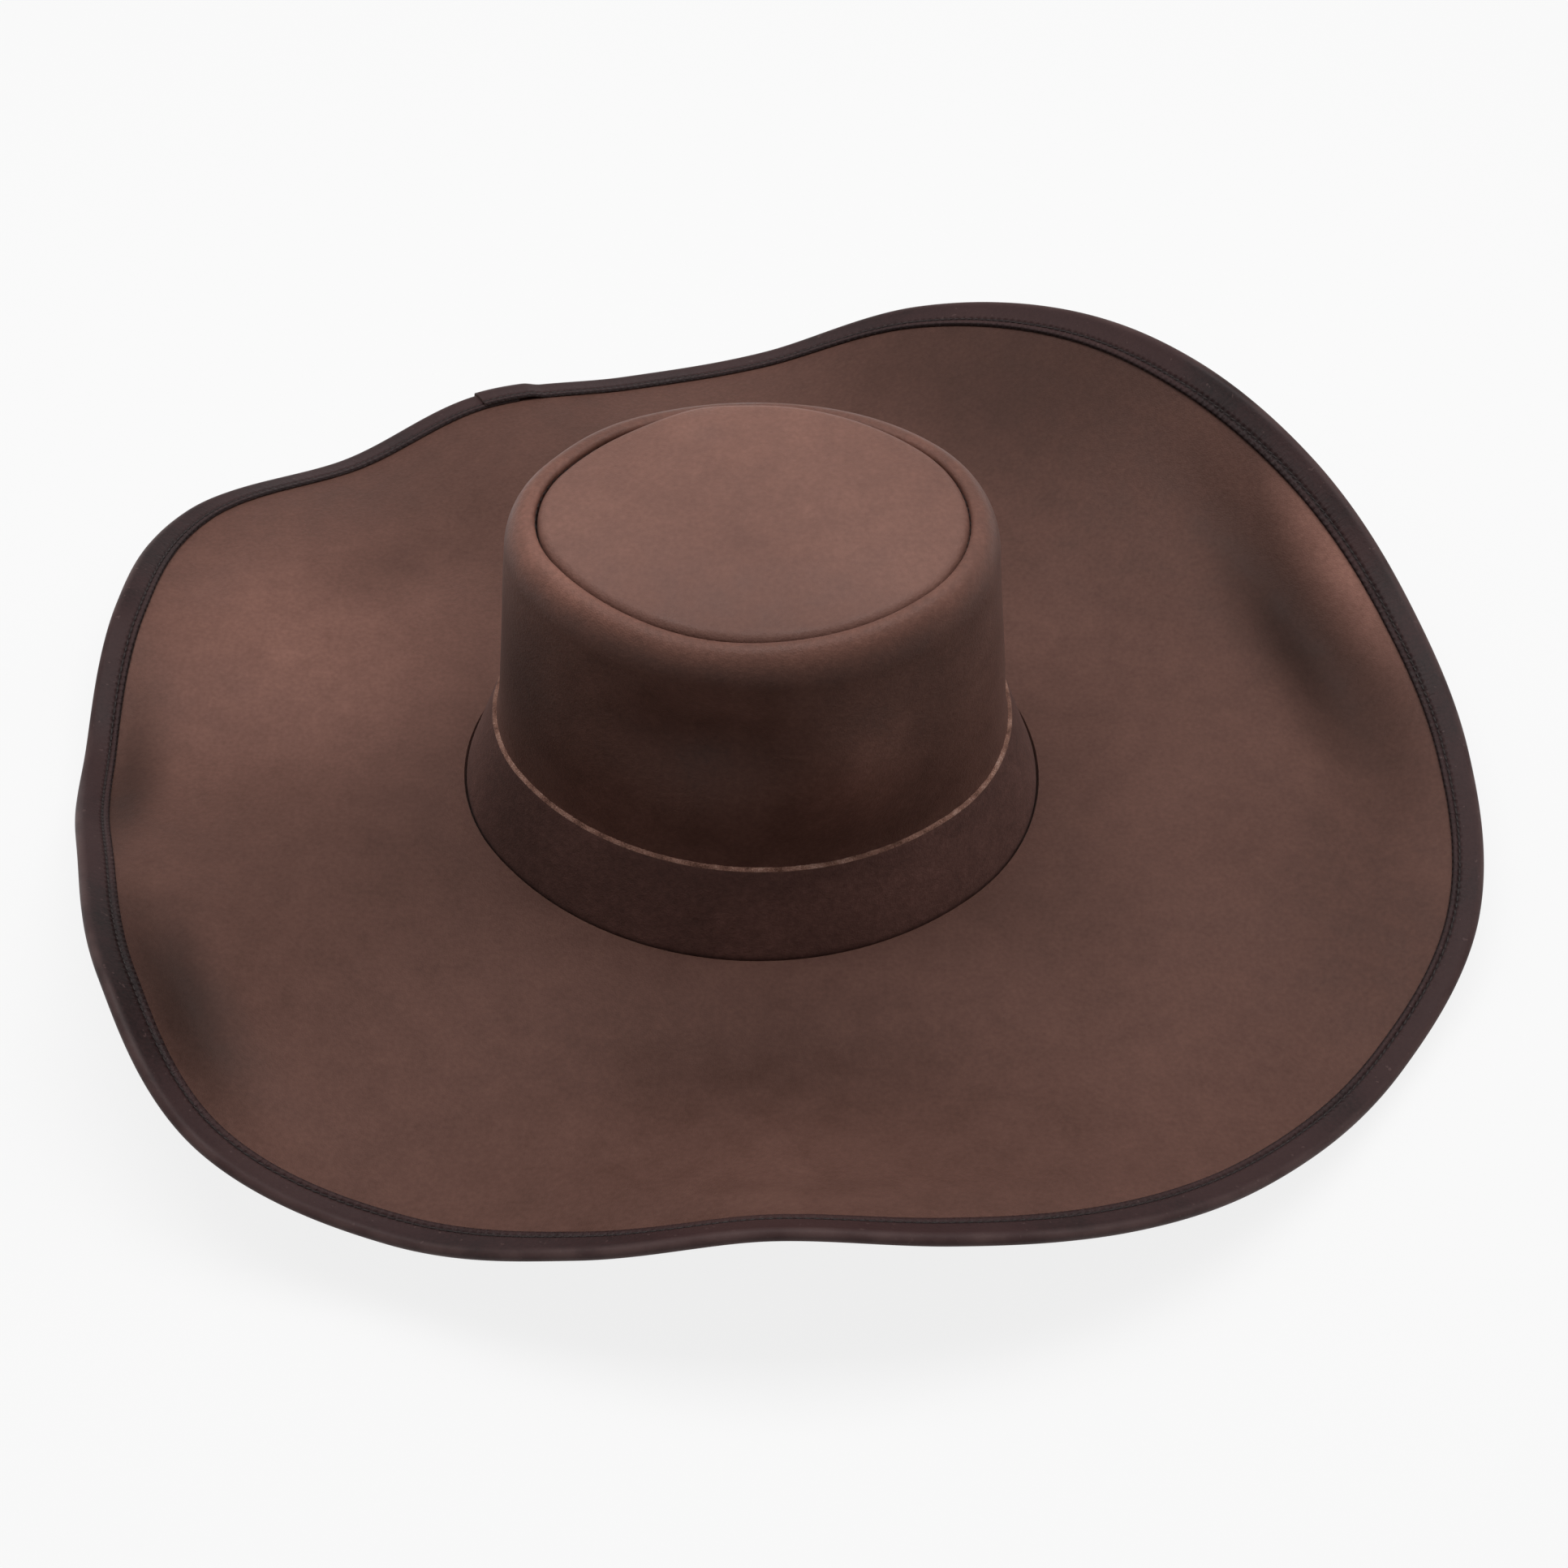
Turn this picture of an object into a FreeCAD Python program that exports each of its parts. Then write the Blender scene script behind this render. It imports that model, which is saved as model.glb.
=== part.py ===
import FreeCAD, Part
import math
import os

import Sketcher

# A wide-brimmed leather pirate hat: a blocked crown with a sunk top seam and a flared band, sewn to a large
# brim that waves up and down round its bound edge.
#
# Frame, in millimetres: X runs along the head oval with the narrow front end at -X, +Z is up, and the origin
# is the middle of the head opening, level with the top face of the brim where it meets the band.

Vector = FreeCAD.Vector

# Driving sizes, one spreadsheet cell each.
SIZES = {
    "crown_length": 203.0,       # outside of the crown at the top edge of the band
    "crown_width": 164.0,
    "front_radius": 60.0,        # the head oval's ends, at the waist: the front is the narrower
    "back_radius": 71.0,
    "crown_leather": 2.2,
    "crown_height": 145.0,       # seam with the brim to the crest of the shoulder
    "wall_lean": 10.0,           # how far the wall leans in between the band and the shoulder
    "flare": 13.0,               # how far the wall and the band spread out below the band's top edge
    "rim_width": 10.5,           # outside of the shoulder to the top seam
    "seam_roll": 2.8,            # radius at which the wall turns down into the top seam
    "seam_allowance": 9.0,       # leather turned down inside the top seam
    "tip_leather": 2.0,
    "tip_roll": 4.0,             # radius at which the tip turns down into the seam
    "tip_dome": 3.0,             # rise of the tip from its rolled edge to its middle
    "tip_slope": 14.0,           # width over which it rises
    "plateau_seam": 2.0,         # width in which the tip's sloped rim and flat middle run into each other
    "band_leather": 2.4,
    "band_height": 39.0,
    "brim_leather": 2.4,
    "brim_length": 567.0,        # plan size of the cut brim before its waves draw it in
    "brim_width": 521.0,
    "brim_shift": 5.5,           # the brim's middle lies behind the head oval's
    "brim_roll": 4.2,            # radius at which the brim turns down to its seam
    "turned_edge": 8.0,          # depth of the leather turned down in the seam of crown, band and brim
    "binding_leather": 1.0,
    "binding_cover": 10.0,       # how far the binding reaches in from the edge, above and below
    "binding_lap": 16.0,         # how far its end laps over its start
    "binding_gap": 0.35,         # air between the binding and the brim, and between its lapped ends
    "sweatband_leather": 1.2,
    "sweatband_height": 34.0,
    "tape_leather": 1.0,
    "tape_width": 20.0,
    "layer_gap": 0.2,            # air between leathers that are sewn together
    "butt_gap": 0.6,             # between two ends that meet edge to edge
}

# Sizes that follow from the driving sizes. Each is a formula over the names above.
FORMULAS = {
    "waist": "crown_length / 2",                # outer face of the wall at the band's top edge
    "front_centre": "waist - front_radius",
    "back_centre": "waist - back_radius",
    "front_spare": "crown_width / 2 - front_radius",
    "back_spare": "crown_width / 2 - back_radius",
    "spare_ratio": "back_spare / front_spare",
    "side_sum": "back_centre + front_centre * spare_ratio",
    "side_rest": "back_centre ^ 2 - back_spare ^ 2 - spare_ratio * ( front_centre ^ 2 - front_spare ^ 2 )",
    "side_centre": "side_rest / ( side_sum + ( side_sum ^ 2 - ( 1 - spare_ratio ) * side_rest ) ^ 0.5 )",
    "side_drop": "( ( side_centre + front_centre ) ^ 2 - front_spare ^ 2 ) / ( 2 * front_spare )",
    "side_radius": "crown_width / 2 + side_drop",
    "hem": "waist + flare",                     # outer face of the wall at the brim
    "shoulder": "waist - wall_lean",            # outer face of the wall under its shoulder
    "shoulder_roll": "rim_width - seam_roll",
    "shoulder_level": "crown_height - shoulder_roll",
    "seam_level": "crown_height - seam_roll",
    "top_seam": "shoulder - rim_width",
    "allowance_end": "seam_level - seam_allowance",
    "tip_inset": "wall_lean + rim_width + layer_gap",             # outer face of the tip, in from the waist
    "tip_edge": "waist - tip_inset",
    "tip_crest": "crown_height + tip_dome",
    "plateau": "tip_edge - tip_roll - tip_slope",
    "plateau_lap": "plateau - plateau_seam",
    "band_hem": "hem + layer_gap",
    "brim_hem": "band_hem + band_leather + layer_gap",
    "sweatband_hem": "hem - crown_leather - layer_gap",
    "sweatband_rim": "sweatband_hem - flare * sweatband_height / band_height",
    "tape_foot": "waist - crown_leather - layer_gap",
    "tape_head": "shoulder - crown_leather - layer_gap",
}

# The brim's edge at 24 even stations from the back of the hat, anticlockwise from above: how high the edge
# stands over the flat of the brim, and how much wider than a true oval the brim was cut there.
EDGE = [
    (12, 2), (24, -4), (45, -6), (55, -3), (43, 5), (20, 8), (-8, 1), (-15, -4),
    (-11, -3), (-16, -5), (-3, 11), (15, -1), (1, -6), (29, -8), (46, 4), (28, 8),
    (14, -5), (31, -5), (49, -1), (41, -3), (24, -6), (3, -9), (-8, -5), (2, 4),
]
FULLNESS = 2.2                     # power of the brim's oval: 2 is an ellipse, more is squarer
LIFT_POWER = 2.4                   # power of the curve in which the brim lifts towards its edge
BINDING_START = math.radians(113)  # turn at which the binding starts and laps
BRIM_SHARES = (0, 0.3, 0.55, 0.76, 0.93, 1)  # shares of the brim's width at which its faces crease slightly
ROLL_STEPS = 2                     # flats in each rolled corner
FOLD_STEPS = 3                     # flats in the binding's fold
RING_RUN = 8.0                     # about how long, at the waist, each straight run round the brim is
LAP_STEPS = 3                      # straight runs in the lap
NORMAL_STEP = 0.001                # step, in radians and in shares, over which the brim's slopes are taken


def formula(text):
    """Write a formula over size names as an expression over the sheet's cells."""
    words = []
    for word in text.split():
        if word in SIZES:
            word = "Sizes." + word
        elif word in FORMULAS:
            word = "(" + formula(FORMULAS[word]) + ")"
        words.append(word)
    return " ".join(words)


def make_sheet():
    """Put each driving size in a spreadsheet cell under its own name."""
    sheet = doc.addObject("Spreadsheet::Sheet", "Sizes")
    for row, (name, size) in enumerate(SIZES.items(), start=1):
        sheet.set(f"A{row}", name)
        sheet.set(f"B{row}", str(size))
        sheet.setAlias(f"B{row}", name)
    doc.recompute()
    return sheet


def value(text):
    """Work out a formula from the sheet's cells."""
    return float(sheet.evalExpression(formula(text)))


# Sketches

def bind(sketch, name, text, *constraint):
    """Add a named constraint that takes its size from the sheet."""
    index = sketch.addConstraint(Sketcher.Constraint(*constraint, value(text)))
    sketch.renameConstraint(index, name)
    sketch.setExpression("Constraints." + name, formula(text))


def new_sketch(body, name, role):
    """Attach an empty sketch to one of the body's own origin planes."""
    sketch = body.newObject("Sketcher::SketchObject", name)
    plane = next(item for item in body.Origin.OriginFeatures if item.Role == role)
    sketch.AttachmentSupport = [(plane, "")]
    sketch.MapMode = "FlatFace"
    return sketch


def place_point(sketch, name, x_text, y_text, geometry, point):
    """Hold a point of the sketch at two distances from the sketch's origin."""
    bind(sketch, name + "_x", x_text, "DistanceX", -1, 1, geometry, point)
    bind(sketch, name + "_y", y_text, "DistanceY", -1, 1, geometry, point)


def draw_outline(sketch, corners):
    """Draw a closed outline.

    Each corner is (across, up). A third word, "upright" or "level", rolls the outline round a quarter turn to
    the next corner, in short flats, starting off upright or level.
    """
    points = []
    for index, corner in enumerate(corners):
        across, up = corner[:2]
        points.append((across, up))
        if len(corner) == 3:
            next_across, next_up = corners[(index + 1) % len(corners)][:2]
            for step in range(1, ROLL_STEPS):
                angle = step * math.pi / 2 / ROLL_STEPS
                part, rest = round(math.sin(angle), 4), round(1 - math.cos(angle), 4)
                shift_across, shift_up = (rest, part) if corner[2] == "upright" else (part, rest)
                points.append((f"( {across} ) * {1 - shift_across:.4f} + ( {next_across} ) * {shift_across}",
                               f"( {up} ) * {1 - shift_up:.4f} + ( {next_up} ) * {shift_up}"))
    places = [Vector(value(across), value(up), 0) for across, up in points]
    for index, place in enumerate(places):
        sketch.addGeometry(Part.LineSegment(place, places[(index + 1) % len(places)]), False)
    for index, (across, up) in enumerate(points):
        sketch.addConstraint(Sketcher.Constraint("Coincident", index, 2, (index + 1) % len(points), 1))
        place_point(sketch, f"corner{index}", across, up, index, 1)


def oval_arcs():
    """The head oval at the waist, from the back anticlockwise: centre, radius, first and last heading."""
    drop = value("side_drop")
    back_turn = math.atan2(drop, value("back_centre - side_centre"))
    front_turn = math.atan2(drop, value("-1 * front_centre - side_centre"))
    return [
        ("back_centre", 0, "back_radius", 0, back_turn),
        ("side_centre", -drop, "side_radius", back_turn, front_turn),
        ("-1 * front_centre", 0, "front_radius", front_turn, math.tau - front_turn),
        ("side_centre", drop, "side_radius", -front_turn, -back_turn),
        ("back_centre", 0, "back_radius", -back_turn, 0),
    ]


def draw_oval(sketch, inset):
    """Draw the head oval, set in from the waist by a formula: end arcs and long side arcs, all tangent.

    The back arc is drawn in two halves, so that the oval starts on the X axis.
    """
    arcs = oval_arcs()
    for centre, level, radius, first, last in arcs:
        circle = Part.Circle(Vector(value(centre), level, 0), Vector(0, 0, 1), value(f"{radius} - {inset}"))
        sketch.addGeometry(Part.ArcOfCircle(circle, first, last), False)
    for number in range(4):
        sketch.addConstraint(Sketcher.Constraint("Tangent", number, 2, number + 1, 1))
    for number, (centre, level, radius, _, _) in enumerate(arcs):
        bind(sketch, f"centre{number}", centre, "DistanceX", -1, 1, number, 3)
        if level == 0:
            bind(sketch, f"level{number}", "0", "DistanceY", -1, 1, number, 3)
            bind(sketch, f"radius{number}", f"{radius} - {inset}", "Radius", number)
    bind(sketch, "start", "0", "DistanceY", -1, 1, 0, 1)
    bind(sketch, "finish", "0", "DistanceY", -1, 1, 4, 2)
    return sketch


# Crown pieces, each a section carried round the head oval

def swept_body(label, inset, corners):
    """Carry a closed section round the head oval and return the body."""
    body = doc.addObject("PartDesign::Body", label)
    body.Label = label
    path = draw_oval(new_sketch(body, label + "_path", "XY_Plane"), inset)
    section = new_sketch(body, label + "_section", "XZ_Plane")
    draw_outline(section, corners)
    pipe = body.newObject("PartDesign::AdditivePipe", label + "_wall")
    pipe.Profile = section
    pipe.Spine = path
    doc.recompute()
    return body


def cut_window(body, name, boxes):
    """Cut upright through a body where the plan rectangles say: each is (left, front, right, back)."""
    plan = new_sketch(body, name + "_plan", "XY_Plane")
    for number, (left, front, right, back) in enumerate(boxes):
        texts = [(left, front), (right, front), (right, back), (left, back)]
        places = [Vector(value(across), value(up), 0) for across, up in texts]
        first = 4 * number
        for side in range(4):
            plan.addGeometry(Part.LineSegment(places[side], places[(side + 1) % 4]), False)
        for side in range(4):
            plan.addConstraint(Sketcher.Constraint("Coincident", first + side, 2, first + (side + 1) % 4, 1))
            place_point(plan, f"window{number}_{side}", *texts[side], first + side, 1)
    cut = body.newObject("PartDesign::Pocket", name)
    cut.Profile = plan
    cut.Type = "ThroughAll"
    cut.SideType = "Symmetric"
    doc.recompute()


def slit_far_side(body, name):
    """Part a closed ring at the middle of its far side, where its two ends meet."""
    cut_window(body, name, [("-1 * butt_gap / 2", "crown_width / 4", "butt_gap / 2", "crown_width")])


def make_crown_side():
    """The wall: turned down at the hem, flared under the band, leaning in, and rolled into the top seam."""
    leather = "crown_leather"
    body = swept_body("crown_side", "0", [
        (f"hem - {leather}", "-1 * turned_edge"),
        ("hem", "-1 * turned_edge"),
        ("hem", "0"),
        ("waist", "band_height"),
        ("shoulder", "shoulder_level", "upright"),
        ("shoulder - shoulder_roll", "crown_height", "level"),
        ("top_seam", "seam_level"),
        ("top_seam", "allowance_end"),
        (f"top_seam + {leather}", "allowance_end"),
        (f"top_seam + {leather}", "seam_level"),
        ("shoulder - shoulder_roll", f"crown_height - {leather}"),
        (f"shoulder - {leather}", "shoulder_level"),
        (f"waist - {leather}", "band_height"),
        (f"hem - {leather}", "0"),
    ])
    slit_far_side(body, "side_seam")
    return body


def make_crown_tip():
    """The oval top panel, domed a little, its edge rolled down into the top seam."""
    leather = "tip_leather"
    body = swept_body("crown_tip", "tip_inset", [
        (f"tip_edge - {leather}", "allowance_end"),
        ("tip_edge", "allowance_end"),
        ("tip_edge", "crown_height - tip_roll", "upright"),
        ("tip_edge - tip_roll", "crown_height"),
        ("plateau", "tip_crest"),
        ("plateau_lap", "tip_crest"),
        ("plateau_lap", f"tip_crest - {leather}"),
        ("plateau", f"tip_crest - {leather}"),
        ("tip_edge - tip_roll", f"crown_height - {leather}"),
        (f"tip_edge - {leather}", "crown_height - tip_roll"),
    ])
    inset = "( waist - plateau + plateau_seam / 2 )"
    middle = draw_oval(new_sketch(body, "plateau_outline", "XY_Plane"), inset)
    middle.setExpression("AttachmentOffset.Base.z", formula(f"tip_crest - {leather}"))
    panel = body.newObject("PartDesign::Pad", "plateau_panel")
    panel.Profile = middle
    panel.setExpression("Length", formula(leather))
    doc.recompute()
    return body


def make_crown_band():
    """The flared band: its raw top edge grips the waist and its foot goes into the brim's seam."""
    body = swept_body("crown_band", "0", [
        ("band_hem", "-1 * turned_edge"),
        ("band_hem + band_leather", "-1 * turned_edge"),
        ("band_hem + band_leather", "0"),
        ("waist + layer_gap + band_leather", "band_height"),
        ("waist + layer_gap", "band_height"),
        ("band_hem", "0"),
    ])
    slit_far_side(body, "band_seam")
    return body


def make_sweatband():
    """The thin strip inside the wall, sewn in at the hem."""
    body = swept_body("sweatband", "0", [
        ("sweatband_hem - sweatband_leather", "-1 * turned_edge"),
        ("sweatband_hem", "-1 * turned_edge"),
        ("sweatband_hem", "0"),
        ("sweatband_rim", "sweatband_height"),
        ("sweatband_rim - sweatband_leather", "sweatband_height"),
        ("sweatband_hem - sweatband_leather", "0"),
    ])
    slit_far_side(body, "sweatband_seam")
    return body


def make_seam_tape():
    """The strip glued behind the wall's side seam, from the waist to the shoulder."""
    body = swept_body("side_seam_tape", "0", [
        ("tape_foot - tape_leather", "band_height"),
        ("tape_foot", "band_height"),
        ("tape_head", "shoulder_level"),
        ("tape_head - tape_leather", "shoulder_level"),
    ])
    edge = "tape_width / 2"
    cut_window(body, "tape_ends", [
        ("-1 * crown_length", "-1 * crown_width", f"-1 * {edge}", "crown_width"),
        (edge, "-1 * crown_width", "crown_length", "crown_width"),
        (f"-1 * {edge}", "-1 * crown_width", edge, "0"),
    ])
    return body


# Brim and binding, sheets that follow one waved surface

class BrimSurface:
    """The brim's top face: a turn round the head oval in radians, and a share of the way to the edge."""

    def __init__(self):
        self.arcs = [(Vector(value(across), up, 0), value(radius), first, last)
                     for across, up, radius, first, last in oval_arcs()]
        self.girth = sum(radius * (last - first) for _, radius, first, last in self.arcs)
        self.seam_outset = value("brim_hem - waist")
        self.roll = value("brim_roll")
        self.half_leather = value("brim_leather / 2")
        self.plan_half = Vector(value("brim_length / 2"), value("brim_width / 2"), 0)
        self.plan_shift = value("brim_shift")
        start, cut, _ = self.span(BINDING_START)
        self.lap = value("binding_lap") / (start + cut).Length

    def stations(self):
        """Turns once round from the binding's start: the corners of the brim and of the binding alike."""
        lap_end = BINDING_START + self.lap
        lapped = steps(BINDING_START, lap_end, LAP_STEPS)
        before_lap = BINDING_START + math.tau - self.lap
        closing = steps(before_lap, BINDING_START + math.tau, LAP_STEPS)
        return lapped + steps(lap_end, before_lap, round(self.girth / RING_RUN))[1:] + closing[1:]

    def oval(self, turn, outset, level=0):
        """A point at an even share of the head oval's girth, moved out square to it."""
        along = turn % math.tau / math.tau * self.girth
        for centre, radius, first, last in self.arcs:
            length = radius * (last - first)
            if along <= length:
                break
            along -= length
        heading = first + along / radius
        reach = radius + outset
        return centre + Vector(reach * math.cos(heading), reach * math.sin(heading), level)

    def span(self, turn):
        """Where the top face leaves its roll, where its edge lies in plan, and how high the edge stands."""
        start = self.oval(turn, self.seam_outset + self.roll)
        heading = math.atan2(start.y, start.x - self.plan_shift)
        rise = edge_row(heading, 0)
        across = abs(math.cos(heading) / self.plan_half.x) ** FULLNESS
        along = abs(math.sin(heading) / self.plan_half.y) ** FULLNESS
        reach = (across + along) ** (-1 / FULLNESS) + edge_row(heading, 1)
        cut = Vector(self.plan_shift + reach * math.cos(heading), reach * math.sin(heading), 0) - start
        drawn_in = LIFT_POWER ** 2 / (4 * LIFT_POWER - 2) * (rise / cut.Length) ** 2
        return start, cut * (1 - drawn_in), rise

    def face(self, turn, share):
        """A point of the top face."""
        start, cut, rise = self.span(turn)
        return start + cut * share + Vector(0, 0, rise * share ** LIFT_POWER)

    def frame(self, turn, share):
        """A point of the top face, its upward normal, and the direction towards the edge."""
        point = self.face(turn, share)
        outward = (self.face(turn, share + NORMAL_STEP) - point).normalize()
        onward = self.face(turn + NORMAL_STEP, share) - point
        return point, outward.cross(onward).normalize(), outward

    def off_face(self, turn, share, lift):
        """A point above the top face, or below it, square to the face."""
        point, normal, _ = self.frame(turn, share)
        return point + normal * lift

    def in_roll(self, turn, angle, radius):
        """A point of the roll into the seam: angle 0 is where the roll leaves the flat of the brim."""
        outset = self.seam_outset + self.roll - radius * math.sin(angle)
        return self.oval(turn, outset, radius * math.cos(angle) - self.roll)

    def round_edge(self, turn, angle, radius):
        """A point on a half circle round the cut edge: angle 0 is above it."""
        point, normal, outward = self.frame(turn, 1)
        centre = point - normal * self.half_leather
        return centre + normal * (radius * math.cos(angle)) + outward * (radius * math.sin(angle))


def edge_row(turn, column):
    """Read a column of the edge table at any turn, on a smooth closed curve through its stations."""
    count = len(EDGE)
    place = turn / math.tau * count % count
    first = int(place)
    part = place - first
    before, start, end, after = (EDGE[(first + step) % count][column] for step in (-1, 0, 1, 2))
    values = start * (1 - part) ** 2 * (1 + 2 * part) + end * part ** 2 * (3 - 2 * part)
    slopes = (end - before) / 2 * part * (1 - part) ** 2 - (after - start) / 2 * part ** 2 * (1 - part)
    return values + slopes


def line(turns, place):
    """A line of straight runs through place(turn) at each turn."""
    return Part.makePolygon([place(turn) for turn in turns])


def ring(turns, place):
    """The same line, closed into a ring."""
    return line(turns + turns[:1], place)


def steps(first, last, count):
    """Evenly spaced numbers from first to last."""
    return [first + (last - first) * index / count for index in range(count + 1)]


def sew(faces):
    """Join faces that share their edges into one solid."""
    skin = Part.Shell(faces)
    skin.sewShape()
    solid = Part.Solid(skin)
    if solid.Volume < 0:
        solid.reverse()
    return solid


def strips(lines):
    """Ruled faces between each line and the next."""
    return [face for before, after in zip(lines, lines[1:])
            for face in Part.makeLoft([before, after], False, True).Faces]


def add_sheet(label, shape):
    """Keep a sheet's solid as a named sub-part."""
    piece = doc.addObject("Part::Feature", label)
    piece.Label = label
    piece.Shape = shape
    piece.Placement = FreeCAD.Placement()
    return piece


def make_brim():
    """The brim: one waved sheet, rolled and turned down at the head opening."""
    leather = value("brim_leather")
    foot = -value("turned_edge")
    turns = waves.stations()[:-1]

    def face_rings(lift):
        """Rings over one face of the sheet, from the seam to the edge."""
        hem = ring(turns, lambda turn: waves.oval(turn, waves.seam_outset - lift, foot))
        rolled = [
            ring(turns, lambda turn: waves.in_roll(turn, angle, waves.roll + lift))
            for angle in steps(math.pi / 2, 0, ROLL_STEPS)[:-1]
        ]
        flat = [ring(turns, lambda turn: waves.off_face(turn, share, lift)) for share in BRIM_SHARES]
        return [hem] + rolled + flat

    top = face_rings(0)
    under = face_rings(-leather)
    return add_sheet("brim", sew(strips(top + under[::-1] + top[:1])))


def make_binding():
    """The binding: a strip folded over the brim's edge all the way round, its end lapped over its start."""
    gap = value("binding_gap")
    leather = value("binding_leather")
    brim_leather = value("brim_leather")
    cover = value("binding_cover")
    round_once = waves.stations()
    finish = round_once[-1]
    turns = round_once + [turn + math.tau for turn in round_once[1:LAP_STEPS + 1]]

    def lift(turn):
        """How far the strip has stepped outwards to clear its own start."""
        done = min(max((turn - finish + waves.lap) / waves.lap, 0), 1)
        return (leather + gap) * done ** 2 * (3 - 2 * done)

    def cover_from(turn):
        """The share of the brim's width at which the strip's two edges lie."""
        return 1 - cover / waves.span(turn)[1].Length

    def skin(clear):
        """Lines along the strip's face, at a given distance outside the brim's skin."""
        def off(turn):
            return clear + lift(turn)

        above = line(turns, lambda turn: waves.off_face(turn, cover_from(turn), off(turn)))
        below = line(turns, lambda turn: waves.off_face(turn, cover_from(turn), -brim_leather - off(turn)))
        fold = [
            line(turns, lambda turn: waves.round_edge(turn, angle, brim_leather / 2 + off(turn)))
            for angle in steps(0, math.pi, FOLD_STEPS)
        ]
        return [above] + fold + [below]

    outside = skin(gap + leather)
    inside = skin(gap)
    ends = []
    for end in (0, -1):
        outer, inner = ([edge.Vertexes[end].Point for edge in lines] for lines in (outside, inside))
        ends += strips([Part.makePolygon(outer), Part.makePolygon(inner)])
    return add_sheet("brim_binding", sew(strips(outside + inside[::-1] + outside[:1]) + ends))


# Build and write

doc = FreeCAD.newDocument("PirateHat")
sheet = make_sheet()
waves = BrimSurface()
pieces = [
    make_crown_side(),
    make_crown_tip(),
    make_crown_band(),
    make_sweatband(),
    make_seam_tape(),
    make_brim(),
    make_binding(),
]
doc.recompute()

for item in doc.Objects:
    if "Invalid" in item.State or "Error" in item.State:
        raise RuntimeError(f"{item.Label} did not build")
for piece in pieces:
    if piece.Shape.isNull() or not piece.Shape.isValid():
        raise RuntimeError(f"{piece.Label} has no sound shape")

os.makedirs("parts", exist_ok=True)
for piece in pieces:
    piece.Shape.exportStep(f"parts/{piece.Label}.step")
    print(piece.Label, len(piece.Shape.Solids), round(piece.Shape.Volume))
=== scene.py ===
"""The looks of a wide-brimmed leather hat: a blocked crown, a flared band and a large waved, bound brim.

Every piece is a strip or panel of leather. Its cross-section is drawn once and drawn out into a flat strip,
and the strip is laid on the hat: round the head oval, or over the brim's waved face. Sizes are in metres.
"""
import logging
import math
import random
from collections.abc import Callable, Iterable
from dataclasses import dataclass, field
from enum import Enum

import bmesh
import bpy
from mathutils import Matrix, Vector, noise


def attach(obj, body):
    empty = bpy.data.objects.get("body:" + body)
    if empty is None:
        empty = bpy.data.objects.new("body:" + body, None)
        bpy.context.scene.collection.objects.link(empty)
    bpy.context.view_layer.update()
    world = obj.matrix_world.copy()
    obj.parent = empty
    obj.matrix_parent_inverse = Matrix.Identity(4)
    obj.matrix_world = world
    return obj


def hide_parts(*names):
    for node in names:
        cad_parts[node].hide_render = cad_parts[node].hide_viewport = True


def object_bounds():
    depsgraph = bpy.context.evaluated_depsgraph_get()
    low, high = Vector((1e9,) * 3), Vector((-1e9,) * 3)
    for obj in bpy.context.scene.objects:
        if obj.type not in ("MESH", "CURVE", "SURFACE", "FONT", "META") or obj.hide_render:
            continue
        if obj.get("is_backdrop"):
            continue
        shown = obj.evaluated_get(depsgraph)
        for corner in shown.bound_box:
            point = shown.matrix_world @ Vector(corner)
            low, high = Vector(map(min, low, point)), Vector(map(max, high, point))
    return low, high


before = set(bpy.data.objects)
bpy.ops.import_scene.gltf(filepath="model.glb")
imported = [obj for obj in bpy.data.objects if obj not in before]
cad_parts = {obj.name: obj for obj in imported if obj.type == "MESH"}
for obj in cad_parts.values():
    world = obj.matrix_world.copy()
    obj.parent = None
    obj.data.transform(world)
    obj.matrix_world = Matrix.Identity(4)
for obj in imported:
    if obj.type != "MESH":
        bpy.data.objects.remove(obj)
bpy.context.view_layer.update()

log = logging.getLogger("hat")

ROOT = "root"            # the hat's one moving body

Place = Callable[[float, float, float], Vector]
SeamPath = list[tuple[Vector, Vector]]
Colour = tuple[float, float, float]
Spot = tuple[float, float, float]
Finishes = list[bpy.types.Material]


class Side(Enum):
    """The three kinds of leather surface, in the order of a piece's material slots."""

    GRAIN = 0
    FLESH = 1
    EDGE = 2


class PatternAxis(Enum):
    """Which direction of a flat strip its second pattern coordinate follows."""

    ACROSS = 0
    UP = 1


# Finishes

@dataclass(frozen=True)
class Shade:
    """A soft darker or paler patch painted into the colour, most of them painted shade and painted light: its
    middle, half its size each way, its strength and its heading.

    The colour at its middle is 1 + strength times as bright. The heading, in degrees, turns it in plan.
    """

    centre: Spot
    reach: Spot
    strength: float
    heading: float = 0.0


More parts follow.
